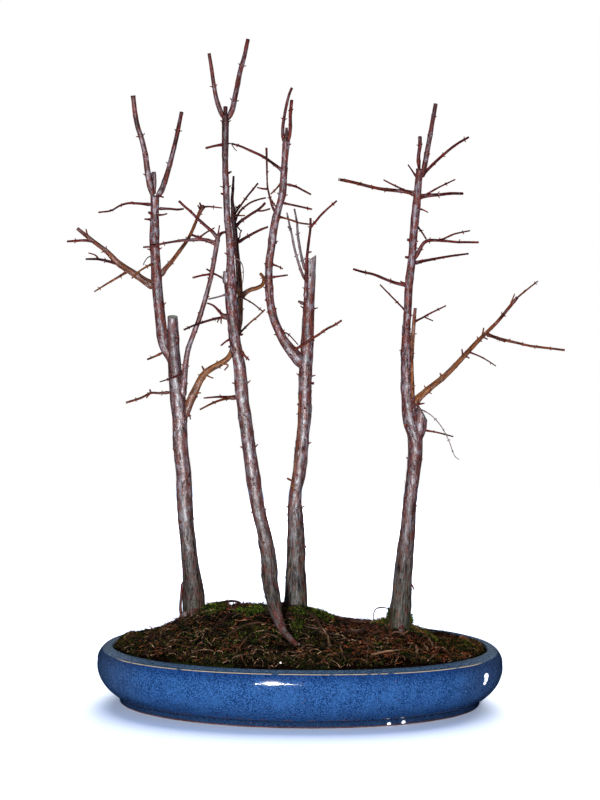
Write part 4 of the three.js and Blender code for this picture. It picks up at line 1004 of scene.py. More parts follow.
# Finer shoots, nubs and tendrils of each tree
farLeftTree["fine"] = [
    ["nub_a", "leader", [[-121, 385], [-125, 387]], [0.9, 0.8], -3],
    ["nub_b", "leader", [[-121, 381], [-128, 381.5]], [0.8, 0.6], 3],
    ["nub_c", "leader", [[-119, 351], [-116, 352.5]], [1.0, 0.8], -2],
    ["short_twig", "leader", [[-119, 385], [-114, 385], [-110, 386]], [0.7, 0.5], 3],
    ["base_stem", "trunk", [[-93, 93], [-95.5, 86], [-96.5, 77], [-97, 68], [-96, 60]],
        [1.3, 1.0, 1.1, 1.3], -4],
    ["short_twig_b", "leader", [[-119, 400], [-116, 400], [-113, 399]], [0.7, 0.6], -3],
    ["pale_tendril", "leader", [[-120, 352], [-125, 351], [-128, 347], [-129, 344.6]], [0.45, 0.3], -6],
    ["tip_spur", "left_limb", [[-172, 366], [-174, 369], [-175, 373]], [0.7, 0.5], -3],
    ["low_spur_a", "low_twig", [[-122, 242], [-123, 245]], [0.6, 0.5], -1],
    ["low_spur_b", "low_twig", [[-124, 241], [-125.5, 238]], [0.6, 0.5], 2],
    ["golden_spur_a", "golden", [[-78, 259], [-80, 262], [-81, 264]], [0.8, 0.6], -3],
    ["golden_spur_b", "golden", [[-79, 258], [-75, 255.5], [-72, 254.5]], [0.6, 0.5], -3],
    ["golden_spur_c", "golden", [[-87, 242.5], [-82, 242.5]], [0.7, 0.5], -4],
    ["golden_spur_d", "golden", [[-93, 229], [-91, 225], [-90, 221]], [0.7, 0.4], -4],
    ["knot_spur_a", "right_limb", [[-82, 390], [-84, 395]], [0.9, 0.6], 2],
    ["knot_spur_b", "right_limb", [[-83, 389], [-85.5, 393]], [0.8, 0.5], -3],
    ["top_spur_a", "golden_top", [[-56, 379], [-54.7, 377.5], [-51, 373]], [0.6, 0.4], -4],
    ["top_spur_b", "golden_top", [[-54.5, 365], [-51.5, 368], [-51.5, 370.5], [-50, 373.5]], [0.6, 0.4],
        -3],
    ["top_spur_c", "golden_top", [[-57.5, 386], [-54.8, 390.7], [-51.7, 394]], [0.6, 0.4], 5],
]
farLeftTree["gold"] = {
    "golden": [0.1, 0.6, 0.9, 0.9, 0.9, 0.8, 0.7], "golden_top": [0.9, 0.6, 0.2, 0, 0, 0],
    "golden_knot": 0.8, "golden_a": 0.3, "golden_b": 0.5, "golden_i": 0.9, "golden_h": 0.6,
    "orange_twig": 1.0, "left_limb": [0.3, 0.6, 0.6, 0.5, 0.35, 0.25],
    "right_limb": [0.3, 0.5, 0.6, 0.5, 0.3], "left_limb_c": 0.45, "low_spur": 0.3, "golden_spur_a": 0.6,
    "golden_spur_b": 0.6, "golden_spur_c": 0.6, "low_twig": 0.25,
}
farLeftTree["dark"] = {
    "trunk": [0.3] * 7 + [0.1] + [0] * 9 + [0.3, 0.5, 0.6, 0.6, 0.5, 0.4, -1],
    "golden_top": [0, 0.1, 0.6, 0.8, 0.9, 0.9], "golden_knot": 0.15, "golden_c": 0.5, "golden_d": 0.45,
    "golden_e": 0.55, "golden_f": 0.4, "golden_g": 0.3, "left_limb": 0.2, "left_limb_b": 0.6,
    "slender": -0.25, "slender_left": -0.25, "slender_up": 0.15, "pale_tendril": -1.0, "right_limb": 0.15,
    "dead_top": -0.6,
}

leaningTree["fine"] = [
    ["loop_tendril", "trunk", [[-56, 349], [-51, 348], [-48, 344], [-47, 337], [-47.5, 330]], [0.4, 0.25],
        -5],
    ["fork_spur_a", "spur_node", [[-63, 305], [-64, 301], [-64, 298]], [0.6, 0.4], -3],
    ["fork_spur_b", "spur_node", [[-63, 304], [-66, 301], [-67, 299]], [0.5, 0.4], 2],
    ["nub_a", "trunk", [[-54, 281], [-58, 280]], [0.8, 0.6], -2],
    ["nub_b", "trunk", [[-52, 289], [-47, 290]], [0.8, 0.6], 2],
    ["nub_c", "trunk", [[-52, 282], [-48, 281]], [0.7, 0.5], -3],
    ["nub_d", "trunk", [[-61, 414], [-57, 416]], [0.7, 0.6], -2],
    ["nub_e", "trunk", [[-61, 398], [-65, 399]], [0.8, 0.6], 2],
    ["curl", "trunk", [[-61, 436], [-58, 438], [-55, 434], [-53, 432]], [0.4, 0.25], -4],
]
leaningTree["gold"] = {"twig_e": 0.4, "twig_c": 0.2}
leaningTree["dark"] = {
    "trunk": [0.4, 0.3, 0.15] + [0.2] * 5 + [0.1] * 5 + [0.4, 0.8, 1], "callus": -0.6,
    "dark_twig": [0.9, 1], "grey_twig": -0.6, "loop_tendril": -0.9, "curl": 0.5, "dead_top": [1, 1],
}

cutTopTree["fine"] = [
    ["hook_twig", "left_limb", [[-21, 392], [-24, 394], [-26.5, 398.5]], [0.6, 0.5], -9],
    ["nub_a", "trunk", [[4, 251], [9, 251]], [1.0, 0.7], -2],
    ["nub_b", "trunk", [[-2, 118], [4, 118.5]], [1.2, 0.8], -5],
    ["red_strip", "trunk", [[-1.0, 246], [-2.2, 236], [-2.9, 204], [-4.9, 186], [-6.4, 171]],
        [0.7, 1.1, 1.1, 1.2, 1.1], [-3.2, -3.6, -3.6, -3.6, -3.3]],
    ["knuckle_a", "trunk", [[-6, 171], [-12, 174]], [0.9, 0.45], [-3, -3]],
    ["knuckle_b", "trunk", [[-8.8, 168.4], [-5.4, 166.4]], [1.5, 1.7], [-3.2, -4.6]],
    ["knuckle_c", "trunk", [[-8.0, 164.6], [-4.6, 163.8]], [1.2, 1.3], [-3.4, -4.8]],
    ["nub_c", "left_limb", [[-27, 316], [-31, 318]], [0.8, 0.6], -2],
    ["nub_d", "left_limb", [[-26, 362], [-22, 364]], [0.8, 0.6], 2],
    ["nub_e", "trunk", [[4, 284], [9, 286]], [0.8, 0.6], 2],
    ["nub_f", "trunk", [[2, 232], [-4, 234]], [0.9, 0.7], -3],
    ["nub_g", "red_shoot", [[3, 356], [6, 357]], [0.6, 0.5], -2],
]
cutTopTree["gold"] = {
    "red_strip": [0.1, 0.35, 0.45, 0.5, 0.5], "knuckle_a": 0.3, "knuckle_b": [0.6, 1],
    "knuckle_c": [0.7, 0.5], "twig_e": 0.3, "crossing_twig": 0.15, "twig_a": 0.35,
}
cutTopTree["dark"] = {
    "trunk": [0] * 15 + [-0.2, -0.7, -1], "grey_shoot": -0.8, "pale_shoot": -1.0, "arc": 0.15,
    "upright_twig": 0.35, "stub": -0.5, "top_stub": -0.4, "grey_shoot_a": -0.7,
}

rightTree["fine"] = [
    ["hanging_tendril", "shoulder", [[92, 233], [101, 228], [108, 221], [112, 215], [116, 207], [119, 199],
        [121, 195], [124, 193]], [0.4, 0.25], -8],
    ["spur_a", "big_right", [[141, 290], [142, 297]], [0.7, 0.5], -1],
    ["spur_b", "big_right", [[141, 290], [145, 288]], [0.6, 0.5], 3],
    ["spur_c", "big_right", [[163, 316], [166, 324]], [0.6, 0.4], -2],
    ["spur_d", "big_right", [[126, 274], [125, 280]], [0.7, 0.5], 2],
    ["spur_e", "big_right", [[127, 275], [131, 273]], [0.6, 0.5], -3],
    ["spur_f", "big_right", [[110, 257], [108, 261]], [0.7, 0.5], -2],
    ["knob_a", "trunk", [[85, 365], [81, 365.5]], [1.0, 0.8], -2],
    ["knob_b", "trunk", [[84, 351], [79.5, 352]], [1.0, 0.7], 2],
    ["loop", "trunk", [[70, 74.2], [64.5, 75], [59.8, 73.8], [57.9, 69.8], [57.9, 64.2]], [0.5, 0.3], -4],
    ["orange_strip", "trunk", [[86.4, 237], [86.1, 250], [85.9, 264], [85.7, 280]], [0.8, 1.3, 1.3, 0.9],
        [-2.8, -3.2, -3.2, -2.6]],
    ["peel", "trunk", [[85, 96], [87.5, 94], [90, 89]], [0.8, 0.3], -3],
]
rightTree["gold"] = {
    "orange_strip": [0.9, 0.8, 0.7, 0.3], "dead_strip": [0.7, 0.7, 0.6, 0.2],
    "big_right": [0.85, 0.85, 0.8, 0.7, 0.5, 0.3, 0.1], "big_right_a": 0.35, "big_right_tip": 0.5,
    "spur_a": 0.6, "spur_c": 0.5, "spur_f": 0.6, "long_left": 0.12,
}
rightTree["dark"] = {
    "trunk": [0.1, 0.1, 0.2, 0.25, 0.25, 0.2, 0.1, 0, 0, 0], "purple_twig": 0.25, "hanging_tendril": -0.9,
    "dead_strip": -0.25, "top": 0.4, "shoulder": -0.3, "thin_left": 0.3, "top_stub": 0.1,
}

trees = {
    "dawn_redwood_far_left": farLeftTree,
    "dawn_redwood_leaning": leaningTree,
    "dawn_redwood_cut_top": cutTopTree,
    "dawn_redwood_right": rightTree,
}
# Where a limb was sawn at a slant: the limb, the point seen, and the way the cut looks
slantedCuts = {
    ("dawn_redwood_cut_top", "trunk"): ([6.5, 352], (-0.72, -0.1, 1)),
    ("dawn_redwood_far_left", "trunk"): ([-105, 303.5], (0.04, -0.35, 1)),
    ("dawn_redwood_right", "shoulder"): ([95, 229], (1, -0.15, 0.6)),
}
barkDress = {
    "flakes": 90,  # loose flakes on each trunk
    "flakeFoot": 76,
    "flakeTop": 300,
    "flakeLength": (5, 15),
    "flakeWidth": (0.9, 2.2),
}


def nearestDepth(line, seen):
    return min(line, key=lambda spot: (spot.x - seen[0]) ** 2 + (spot.y - seen[1]) ** 2).z


# Every limb of a tree in space, from the lines seen in front
def growLimbs(tree, dice):
    flat, limbs = {}, {}
    for name, parent, seen, radii, reach in tree["limbs"] + tree["fine"]:
        start = nearestDepth(flat[parent], seen[0]) if parent else 0
        last = len(seen) - 1
        depths = [start + (reach[i] if isinstance(reach, list) else reach * (i / last) ** 1.2)
                  for i in range(last + 1)]
        flat[name] = flowing([(x, z, depth) for (x, z), depth in zip(seen, depths)], 12)
        points = [seenAt(point, tree["plane"], depth) for point, depth in zip(seen, depths)]
        gold = tree["gold"].get(name, 0.0)
        dark = tree["dark"].get(name, 0.0)
        collar, merge = 0.0, 0.0
        if parent:
            stations = limbs[parent]["stations"]
            k = min(range(len(stations)), key=lambda i: (stations[i] - points[0]).length_squared)
            collar = radiusAt(limbs[parent]["radii"], k / (len(stations) - 1))
            # a limb that leaves almost along its parent swells out of it slowly
            merge = max(0, (points[1] - points[0]).normalized().dot(limbs[parent]["ways"][k])) ** 4
            merge *= smoothStep(0.4, 0.7, radii[0] / collar)
        limbs[name] = makeLimb(name, points, radii, (gold, dark), dice.uniform(0, 30), collar, merge)
    return limbs


# How golden or dark a limb is: one number that grows from its foot, or a list of them from foot to tip
def lookAt(look, share):
    return radiusAt(look, share) if isinstance(look, list) else look * min(1, 0.4 + 2 * share)


def limbLooks(limb):
    return lambda radius, share: (radius, *(lookAt(look, share) for look in limb["looks"]))


# A slanted saw cut: the limb past the plane goes, and the wound gets a rim of bark and pale wood
def sawAt(shape, point, facing):
    around = shape.verts[:] + shape.edges[:] + shape.faces[:]
    cut = bmesh.ops.bisect_plane(shape, geom=around, plane_co=point, plane_no=facing, clear_outer=True)
    rim = [part for part in cut["geom_cut"] if isinstance(part, bmesh.types.BMEdge)]
    wound = bmesh.ops.contextual_create(shape, geom=rim)["faces"]
    bmesh.ops.inset_individual(shape, faces=wound, thickness=0.9)
    for face in wound:
        face.material_index = 1
    bmesh.ops.poke(shape, faces=wound)


def buttressRoots(tree, trunk, dice):
    foot = min(trunk["stations"], key=lambda spot: abs(spot.z - limbBuild["foot"]))
    for angle, length in tree["roots"]:
        way = Vector((math.cos(math.radians(angle)), math.sin(math.radians(angle)), 0))
        path = []
        for out, lift in ((2, 6), (8, 1.6), (length * 0.6, -0.4), (length, -4)):
            spot = foot + way * out
            path.append((spot.x, spot.y, soilHeight(spot.x, spot.y) + lift))
        yield makeLimb("buttress", path, [4, 2.8, 1.8, 1.2], (0, 0.1), dice.uniform(0, 30))


def budPairs(shape, limb, dice):
    # opposite pairs at the swollen nodes, each pair a quarter turn from the last
    last = len(limb["stations"]) - 1
    first = math.ceil((limb["offset"] + limb["collar"] + 3) / limb["pitch"])
    along = first * limb["pitch"] - limb["offset"]
    turn = dice.uniform(0, 6.3)
    while along < limb["total"] - limbBuild["baldEnd"]:
        share = along / limb["total"]
        k = round(share * last)
        spot, side, way = limb["stations"][k], limb["sides"][k], limb["ways"][k]
        radius = radiusAt(limb["radii"], share)
        for half in (0, math.pi):
            if spot.z < limbBuild["lowestBud"] or dice.random() < limbBuild["missingBuds"]:
                continue
            angle = turn + half + dice.uniform(-0.25, 0.25)
            out = side * math.cos(angle) + way.cross(side) * math.sin(angle)
            length = dice.uniform(0.7, 1.2) + 0.35 * min(radius, 4)
            thick = 0.34 + 0.07 * min(radius, 4)
            lean = (out + way * dice.uniform(0.3, 0.9)).normalized()
            look = (0.9, lookAt(limb["looks"][0], share) * 0.8, lookAt(limb["looks"][1], share) * 0.5)
            addSpur(shape, spot + out * (radius - 0.15), lean, length, thick, look)
        along += limb["pitch"]
        turn += math.pi / 2


def treeShape(name, tree):
    dice = random.Random(tree["seed"])
    limbs = growLimbs(tree, dice)
    whole = grownShape()
    for limb in [*limbs.values(), *buttressRoots(tree, limbs["trunk"], dice)]:
        skin = limbSkin(limb, limbLooks(limb))
        cut = slantedCuts.get((name, limb["name"]))
        if cut:
            sawAt(skin, seenAt(cut[0], tree["plane"], 0), cut[1])
        join(whole, skin)
    spurs = grownShape()
    for limb in limbs.values():
        sawn = (name, limb["name"]) in slantedCuts and limb["name"] != "trunk"
        if len(limb["stations"]) > 5 and not sawn:
            budPairs(spurs, limb, dice)
    join(whole, spurs)
    trunk = limbs["trunk"]
    for _ in range(barkDress["flakes"]):
        share = dice.uniform(0.06, 0.72)
        spot = trunk["stations"][round(share * (len(trunk["stations"]) - 1))]
        if not barkDress["flakeFoot"] < spot.z < barkDress["flakeTop"]:
            continue
        lift = dice.uniform(0.2, 1.1) * lerp(1, 0.4, smoothStep(barkDress["flakeFoot"], 260, spot.z))
        radius = radiusAt(trunk["radii"], share)
        addFlake(whole, trunk, share, dice.uniform(0, 6.3), dice.uniform(*barkDress["flakeLength"]),
                 dice.uniform(*barkDress["flakeWidth"]), lift, (radius, 0, dice.uniform(-0.3, 0.5)))
    return whole


treeLooks = [barkFinish(), cutWoodFinish(), budFinish()]
for name, tree in trees.items():
    addPiece(name + "_grown", placedMesh(name, treeShape(name, tree)), treeLooks, [name])
print("trees grown")


# Roots that run over the soil: [x, y] points, thickness at both ends, how high the middle arches,
# and how pale they are

surfaceRoots = [
    [[[4, 44], [22, 40], [42, 32], [60, 20], [68, 8]], 1.3, 0.9, 2.2, 0.1],
    [[[-78, 30], [-70, 36], [-60, 38], [-52, 32], [-45, 22]], 1.3, 0.8, 4.5, 0.1],
    [[[-19, -26], [-30, -24], [-41, -30], [-52, -41], [-58, -59], [-62, -79]], 0.65, 0.45, 1.8, 0.1],
    [[[0, 18], [10, 0], [16, -22], [17, -44]], 1.3, 0.8, 1, 0.1],
    [[[-40, 10], [-58, -12], [-70, -36]], 1.4, 0.8, 0.5, 0.0],
    [[[-94, 22], [-112, 8], [-124, -16]], 1.6, 0.8, 0.5, 0.0],
    [[[-8, 50], [-18, 68], [-34, 82]], 2, 1.0, 0.5, 0.0],
    [[[88, 4], [106, 14], [120, 6]], 1.6, 0.8, 0.5, 0.1],
    [[[68, -10], [50, -26], [40, -48]], 1.3, 0.7, 0.5, 0.1],
    [[[74, 0], [64, 0], [54, -8], [45, -17], [34, -20]], 3.2, 0.9, 1.0, 0.0],
    [[[-58, -95], [-48, -87], [-37, -84], [-32, -78]], 0.5, 0.35, 1, 0.5],
    [[[8, -16], [17, -26], [21, -48], [22, -73]], 0.8, 0.45, 1.4, 1.0],
    [[[-3, -26], [14, -28], [29, -32]], 0.8, 0.6, 1.0, 0.2],
    [[[15, -97], [22, -86], [28, -76]], 0.6, 0.45, 1.4, 0.5],
    [[[52, -33], [51, -67], [50, -96]], 0.8, 0.55, 1.0, 0.2],
    [[[53, -79], [61, -75], [71, -69], [79, -53]], 0.75, 0.5, 1.6, 0.9],
    [[[95, 4], [100, -13], [103, -34]], 1.0, 0.7, 1.4, 0.5],
    [[[89, -44], [89, -63], [91, -77]], 0.8, 0.5, 1.4, 0.7],
    [[[105, -52], [101, -64], [96, -75]], 0.6, 0.45, 1.2, 0.4],
    [[[-34, -54], [-23, -48], [-12, -59]], 0.5, 0.35, 1.0, 0.3],
    [[[0, -76], [5, -66], [16, -62]], 0.45, 0.3, 1.2, 0.3],
    [[[-48, -73], [-41, -54], [-37, -38]], 0.6, 0.45, 1.2, 0.3],
    [[[-14, -85], [-4, -88], [6, -80]], 0.45, 0.3, 1.0, 0.4],
    [[[31, -1], [40, -15], [52, -10]], 0.7, 0.5, 1.4, 0.4],
    [[[34, -40], [30, -70], [34, -92]], 0.7, 0.5, 1.0, 0.3],
    [[[66, -27], [76, -20], [87, -28]], 0.7, 0.5, 1.6, 0.4],
    [[[0, -21], [-8, -16], [-16, -20]], 0.7, 0.5, 1.4, 0.2],
    [[[-110, 30], [-122, 20], [-130, 2]], 0.8, 0.5, 1.2, 0.3],
    [[[-60, 60], [-78, 66], [-96, 56]], 0.9, 0.6, 1.4, 0.2],
    [[[20, 62], [40, 74], [64, 70]], 0.9, 0.6, 1.2, 0.2],
    [[[-60, 84], [-36, 92], [-10, 88]], 0.8, 0.5, 1.2, 0.4],
    [[[96, 30], [110, 44], [112, 60]], 0.8, 0.6, 1.2, 0.3],
]


def rootFinish():
    finish, grain = newFinish("surface_root_skin", "grain", Specular_IOR_Level=0.12)
    habit = grain.node("ShaderNodeAttribute", {"attribute_name": "habit"}, {}, 1)
    skin = grain.stretched((1.2, 1.2, 0.16)).cloud(1.0, 5.0, 0.6)
    blotch = grain.stretched((0.3, 0.3, 0.12)).cloud(1.0, 3.0)
    colour = skin.rise(0.36, 0.64).tint((0.003, 0.0010, 0.0006), (0.028, 0.009, 0.0055))
    colour = (blotch.rise(0.5, 0.66) * 0.6).tint(colour, (0.026, 0.013, 0.009))
    colour = (habit.part(1) * skin.rise(0.3, 0.6)).tint(colour, (0.16, 0.088, 0.050))
    return applyLook(finish, colour, 0.55, skin.relief(0.0005, 0.6))


def surfaceRootShape():
    dice = random.Random(5)
    whole = grownShape()
    for points, start, end, arch, pale in surfaceRoots:
        last = len(points) - 1
        path = []
        for i, (x, y) in enumerate(points):
            lift = arch * math.sin(math.pi * i / last) - (2 if i in (0, last) else 0)
            path.append((x, y, soilHeight(x, y) + 0.2 + lift))
        root = makeLimb("root", path, [start, end], (pale, 0), dice.uniform(0, 30))
        for spot in root["stations"][1:-1]:
            spot += Vector((noise.noise(spot / 9), noise.noise(spot / 8 + spot.zxy / 50), 0)) * 1.6
            spot.z = max(spot.z, soilHeight(spot.x, spot.y) + 0.2)
        join(whole, limbSkin(root, lambda radius, share: (radius, pale, 0), start > 1.5))
    return whole


addPiece("surface_roots", placedMesh("surface_roots", surfaceRootShape()), [rootFinish()])

mossCushions = [  # x, y, half length, half width, height
    [-69, 20, 13, 9, 4],
    [-38, 2, 12, 10, 4],
    [14, 24, 13, 9, 3.6],
    [66, 5, 12, 11, 5.5],
    [96, -10, 11, 9, 4],
    [134, 2, 10, 14, 3],
    [-134, 4, 9, 16, 4.5],
]


# Height of what covers the ground at a point, the moss cushions included
def coverHeight(x, y):
    lift = 0
    for middleX, middleY, halfLength, halfWidth, height in mossCushions:
        out = ((x - middleX) / halfLength) ** 2 + ((y - middleY) / halfWidth) ** 2
        if out < 1:
            lift = max(lift, height * math.sqrt(1 - out))
    return soilHeight(x, y) + lift


mat = {
    "fine": 3000,  # fine rootlets
    "strong": 1500,  # stronger ones, longer and over the fine ones
    "litter": 1500,  # short dead needles
    "crest": 420,  # needles that stand up between the left trees
    "crestAcross": (-46, 9),  # middle and spread
    "crestDeep": (8, 60),
    "mossBlades": 3600,  # of the thin carpet
}


def insideRim(dice, reach):
    while True:
        x, y = dice.uniform(-reach, reach), dice.uniform(-halfDepthAt(reach), halfDepthAt(reach))
        if edgeShare(x, y, reach) < 1:
            return x, y


# A strand that wanders over the soil and dips in at both ends
def wanderingRoot(dice, length, count, radius, arch, sink, weights):
    x, y = insideRim(dice, lipInner - 3)
    heading = dice.uniform(0, 2 * math.pi)
    bend = dice.uniform(-0.7, 0.7)
    points, radii = [], []
    lift = dice.uniform(0.2, 1.0) ** 1.5 * arch
    for i in range(count):
        share = i / (count - 1)
        height = coverHeight(x, y) + crumbs(x, y) * 0.7 + radius + lift * math.sin(math.pi * share) - sink
        if i in (0, count - 1):
            height -= dice.uniform(-0.3, 1.2)
        points.append((x, y, height))
        radii.append(radius * (1.1 - 0.5 * share))
        heading += bend + dice.uniform(-0.45, 0.45)
        step = length / (count - 1)
        ahead = (x + step * math.cos(heading), y + step * math.sin(heading))
        if edgeShare(*ahead, lipInner - 2.5) > 1:
            heading += 2.2
            ahead = (x + step * math.cos(heading) * 0.6, y + step * math.sin(heading) * 0.6)
            if edgeShare(*ahead, lipInner - 2.5) > 1:
                ahead = (x * 0.97, y * 0.97)
        x, y = ahead
    return points, radii, rootletKind(dice, x, weights)


# A dead needle that lies on the mat, with one end up or down
def fallenNeedle(dice):
    x, y = insideRim(dice, lipInner - 6)
    heading = dice.uniform(0, 2 * math.pi)
    length = dice.uniform(2.5, 6)
    start = Vector((x, y, coverHeight(x, y) + dice.uniform(0.2, 1.2)))
    way = Vector((math.cos(heading), math.sin(heading), dice.gauss(0.15, 0.45)))
    sag = Vector((0, 0, dice.uniform(0, 0.6)))
    radius = dice.uniform(0.16, 0.30)
    line = [start, start + way * length / 2 + sag, start + way * length]
    return line, [radius, radius, radius * 0.4], rootletKind(dice, x, (25, 36, 28, 8))


# A dead needle that stands in the mat
def standingNeedle(dice):
    x, y = dice.gauss(*mat["crestAcross"]), dice.uniform(*mat["crestDeep"])
    start = Vector((x, y, coverHeight(x, y) - 0.4))
    way = Vector((dice.gauss(0, 0.7), dice.gauss(0, 0.5), dice.uniform(0.3, 1.3)))
    length = dice.uniform(1.5, 4.5)
    line = [start, start + way * length * 0.5, start + way * length]
    return line, [0.26, 0.22, 0.10], dice.choice((0, 1, 1, 2, 2))


def rootletFinish(name, deep, light):
    finish, place = newFinish(name, Specular_IOR_Level=0.12)
    along = place.cloud(700, 3.0)
    area = place.cloud(40, 2.0)
    colour = along.rise(0.40, 0.60).tint(deep, light)
    colour = (area.rise(0.52, 0.40) * 0.5).tint(colour, deep)
    return applyLook(finish, colour, 0.6, along.relief(0.0002, 0.4))


# Dark, brown, russet or pale: the mat is redder on the right side of the pot
def rootletKind(dice, x, weights):
    redder = smoothStep(0, 100, x)
    dark, brown, russet, pale = weights
    return dice.choices(range(4), (dark, brown, russet * (0.6 + 3.6 * redder), pale))[0]


dice = random.Random(8)
fineRootlets, strongRootlets = [], []
for _ in range(mat["fine"]):
    length, radius = dice.uniform(4, 10), dice.uniform(0.12, 0.21)
    fineRootlets.append(wanderingRoot(dice, length, 6, radius, 2.0, 0.2, (50, 28, 12, 10)))
for _ in range(mat["strong"]):
    length, radius = dice.uniform(7, 18), dice.uniform(0.15, 0.28)
    strongRootlets.append(wanderingRoot(dice, length, 8, radius, 2.6, 0.1, (44, 30, 12, 10)))
needles = [fallenNeedle(dice) for _ in range(mat["litter"])]
needles += [standingNeedle(dice) for _ in range(mat["crest"])]
rootletLooks = [
    # the darkest strands: dark rootlets whose near-black is also painted shade of the depths of the mat
    rootletFinish("rootlet_dark", (0.0004, 0.0002, 0.0001), (0.0022, 0.0010, 0.0006)),
    rootletFinish("rootlet_brown", (0.003, 0.0012, 0.0006), (0.058, 0.021, 0.0085)),
    rootletFinish("rootlet_russet", (0.014, 0.003, 0.0010), (0.170, 0.042, 0.013)),
    rootletFinish("rootlet_pale", (0.045, 0.021, 0.011), (0.310, 0.180, 0.105)),
]
for name, strands in (("fine_rootlets", fineRootlets), ("strong_rootlets", strongRootlets),
                      ("dead_needles", needles)):
    addPiece(name, strandMesh(name, strands, rootletLooks), [])

paleGrit = [  # x, y, radius
    [-14.4, -99, 0.8],
    [-1.3, -64, 0.95],
]


def gritFinish():
    finish, place = newFinish("pale_grit", Specular_IOR_Level=0.2)
    return applyLook(finish, place.cloud(900, 3.0).tint((0.34, 0.30, 0.26), (0.80, 0.76, 0.72)), 0.7)


def gritShape():
    whole = bmesh.new()
    for x, y, radius in paleGrit:
        grit = bmesh.new()
        bmesh.ops.create_icosphere(grit, subdivisions=2, radius=radius)
        for vert in grit.verts:
            vert.co *= 1 + 0.3 * noise.noise(vert.co / radius + Vector((x, y, 0)))
            vert.co += Vector((x, y, coverHeight(x, y) + radius * 0.6))
        join(whole, grit)
    return whole


addPiece("pale_grit", placedMesh("pale_grit", gritShape()), [gritFinish()])
print("rootlets laid")


# Moss

tuft = {"blades": 1150, "length": (1.2, 3.8), "radius": (0.20, 0.42)}


def mossFinish(name, deep, light, dry):
    finish, place = newFinish(name, Specular_IOR_Level=0.05)
    leaf = place.cloud(520, 3.0, 0.6)
    area = place.cloud(60, 3.0)
    # the colour falls to the near-black deep colour at the foot of each blade and in patchy gaps: painted
    # shade inside and between the tufts, over the moss's own lighter tips and patches
    gaps = place.cloud(210, 3.0, 0.6).rise(0.42, 0.54)
    towardsTip = place.node("ShaderNodeUVMap", {"uv_map": "UVMap"}, {}).part(0)
    colour = (area.rise(0.46, 0.60) * 0.7).tint(light, dry)
    grown = towardsTip.rise(0.2, 0.9) * (0.15 + leaf.rise(0.46, 0.60) * 0.95) * (0.25 + gaps * 0.85)
    colour = grown.tint(deep, colour)
    return applyLook(finish, colour, 0.8, leaf.relief(0.0004, 0.6))


def mossBlade(dice, x, y, height, outward, kind=0):
    way = Vector((dice.gauss(0, 0.65), dice.gauss(0, 0.65), 1)) + outward * dice.uniform(0.2, 0.9)
    length = dice.uniform(*tuft["length"])
    root = Vector((x, y, height))
    bend = Vector((dice.gauss(0, 0.3), dice.gauss(0, 0.3), -0.2))
    middle = root + way.normalized() * length * 0.55
    tip = middle + (way.normalized() + bend).normalized() * length * 0.45
    radius = dice.uniform(*tuft["radius"])
    return [root, middle, tip], [radius, radius * 0.8, radius * 0.12], kind


# The uneven outline of a cushion: how far its edge is pushed out in one direction
def raggedEdge(x, y, u, v):
    angle = math.atan2(v, u)
    ring = Vector((math.cos(angle) * 1.4, math.sin(angle) * 1.4, x * 0.05 + y * 0.03))
    return 0.92 + 0.42 * noise.noise(ring)


def cushionDome(x, y, halfLength, halfWidth, height):
    shape = bmesh.new()
    bmesh.ops.create_icosphere(shape, subdivisions=4, radius=1)
    for vert in shape.verts:
        edge = raggedEdge(x, y, vert.co.x, vert.co.y)
        px, py = x + vert.co.x * halfLength * edge, y + vert.co.y * halfWidth * edge
        swell = 1 + 0.30 * noise.noise(Vector((px, py, 0)) / 4)
        swell += 0.2 * noise.noise(Vector((px, py, 7)) / 1.6)
        lift = vert.co.z * height * (swell if vert.co.z > 0 else 0.8) * 0.8
        vert.co = (px, py, soilHeight(px, py) + lift)
    return shape


def fillCushion(index, x, y, halfLength, halfWidth, height):
    name = "moss_cushion_%d" % (index + 1)
    dice = random.Random(60 + index)
    blades = []
    while len(blades) < tuft["blades"]:
        u, v = dice.uniform(-1.3, 1.3), dice.uniform(-1.3, 1.3)
        out = math.hypot(u, v) / raggedEdge(x, y, u, v)
        if out > 1.2 or dice.random() < smoothStep(0.6, 1.2, out) * 0.9:
            continue
        px, py = x + u * halfLength, y + v * halfWidth
        if edgeShare(px, py, lipInner - 2) > 1:
            continue
        lift = height * 0.80 * math.sqrt(max(0, 1 - out * out))
        outward = Vector((u / halfLength, v / halfWidth, 0)).normalized() * min(1, out)
        blades.append(mossBlade(dice, px, py, soilHeight(px, py) + lift - 0.4, outward))
    body = bmesh.new()
    moss = mossOlive if abs(x) > 100 else mossGreen
    body.from_mesh(strandMesh("blades", blades, [moss]))
    body.from_mesh(placedMesh("dome", cushionDome(x, y, halfLength, halfWidth, height)))
    mesh = bpy.data.meshes.new(name + "_tufts")
    body.to_mesh(mesh)
    body.free()
    addPiece(name + "_tufts", mesh, [moss], [name])


# moss colours: near black at the foot of the blades, which is painted shade, then the moss's own light and
# dry greens
mossGreen = mossFinish("moss_green", (0.0006, 0.0016, 0.0003), (0.088, 0.130, 0.010), (0.095, 0.060, 0.011))
mossOlive = mossFinish("moss_olive", (0.0008, 0.0011, 0.0003), (0.056, 0.058, 0.007), (0.090, 0.038, 0.009))
for index, cushion in enumerate(mossCushions):
    fillCushion(index, *cushion)

# Thin moss between the cushions: thick at the ends of the pot and along the rim, sparse elsewhere
carpet = []
while len(carpet) < mat["mossBlades"]:
    x, y = insideRim(dice, lipInner - 2)
    share = noise.noise(Vector((x, y, 3)) / 13) + 0.55 * abs(x / lipInner) ** 3
    share += 0.35 * smoothStep(0.80, 1.0, edgeShare(x, y, lipInner)) - 0.10
    if share > dice.uniform(0, 0.5):
        height = soilHeight(x, y) + crumbs(x, y) * 0.6 - 0.5
        carpet.append(mossBlade(dice, x, y, height, Vector((0, 0, 0)), 1))
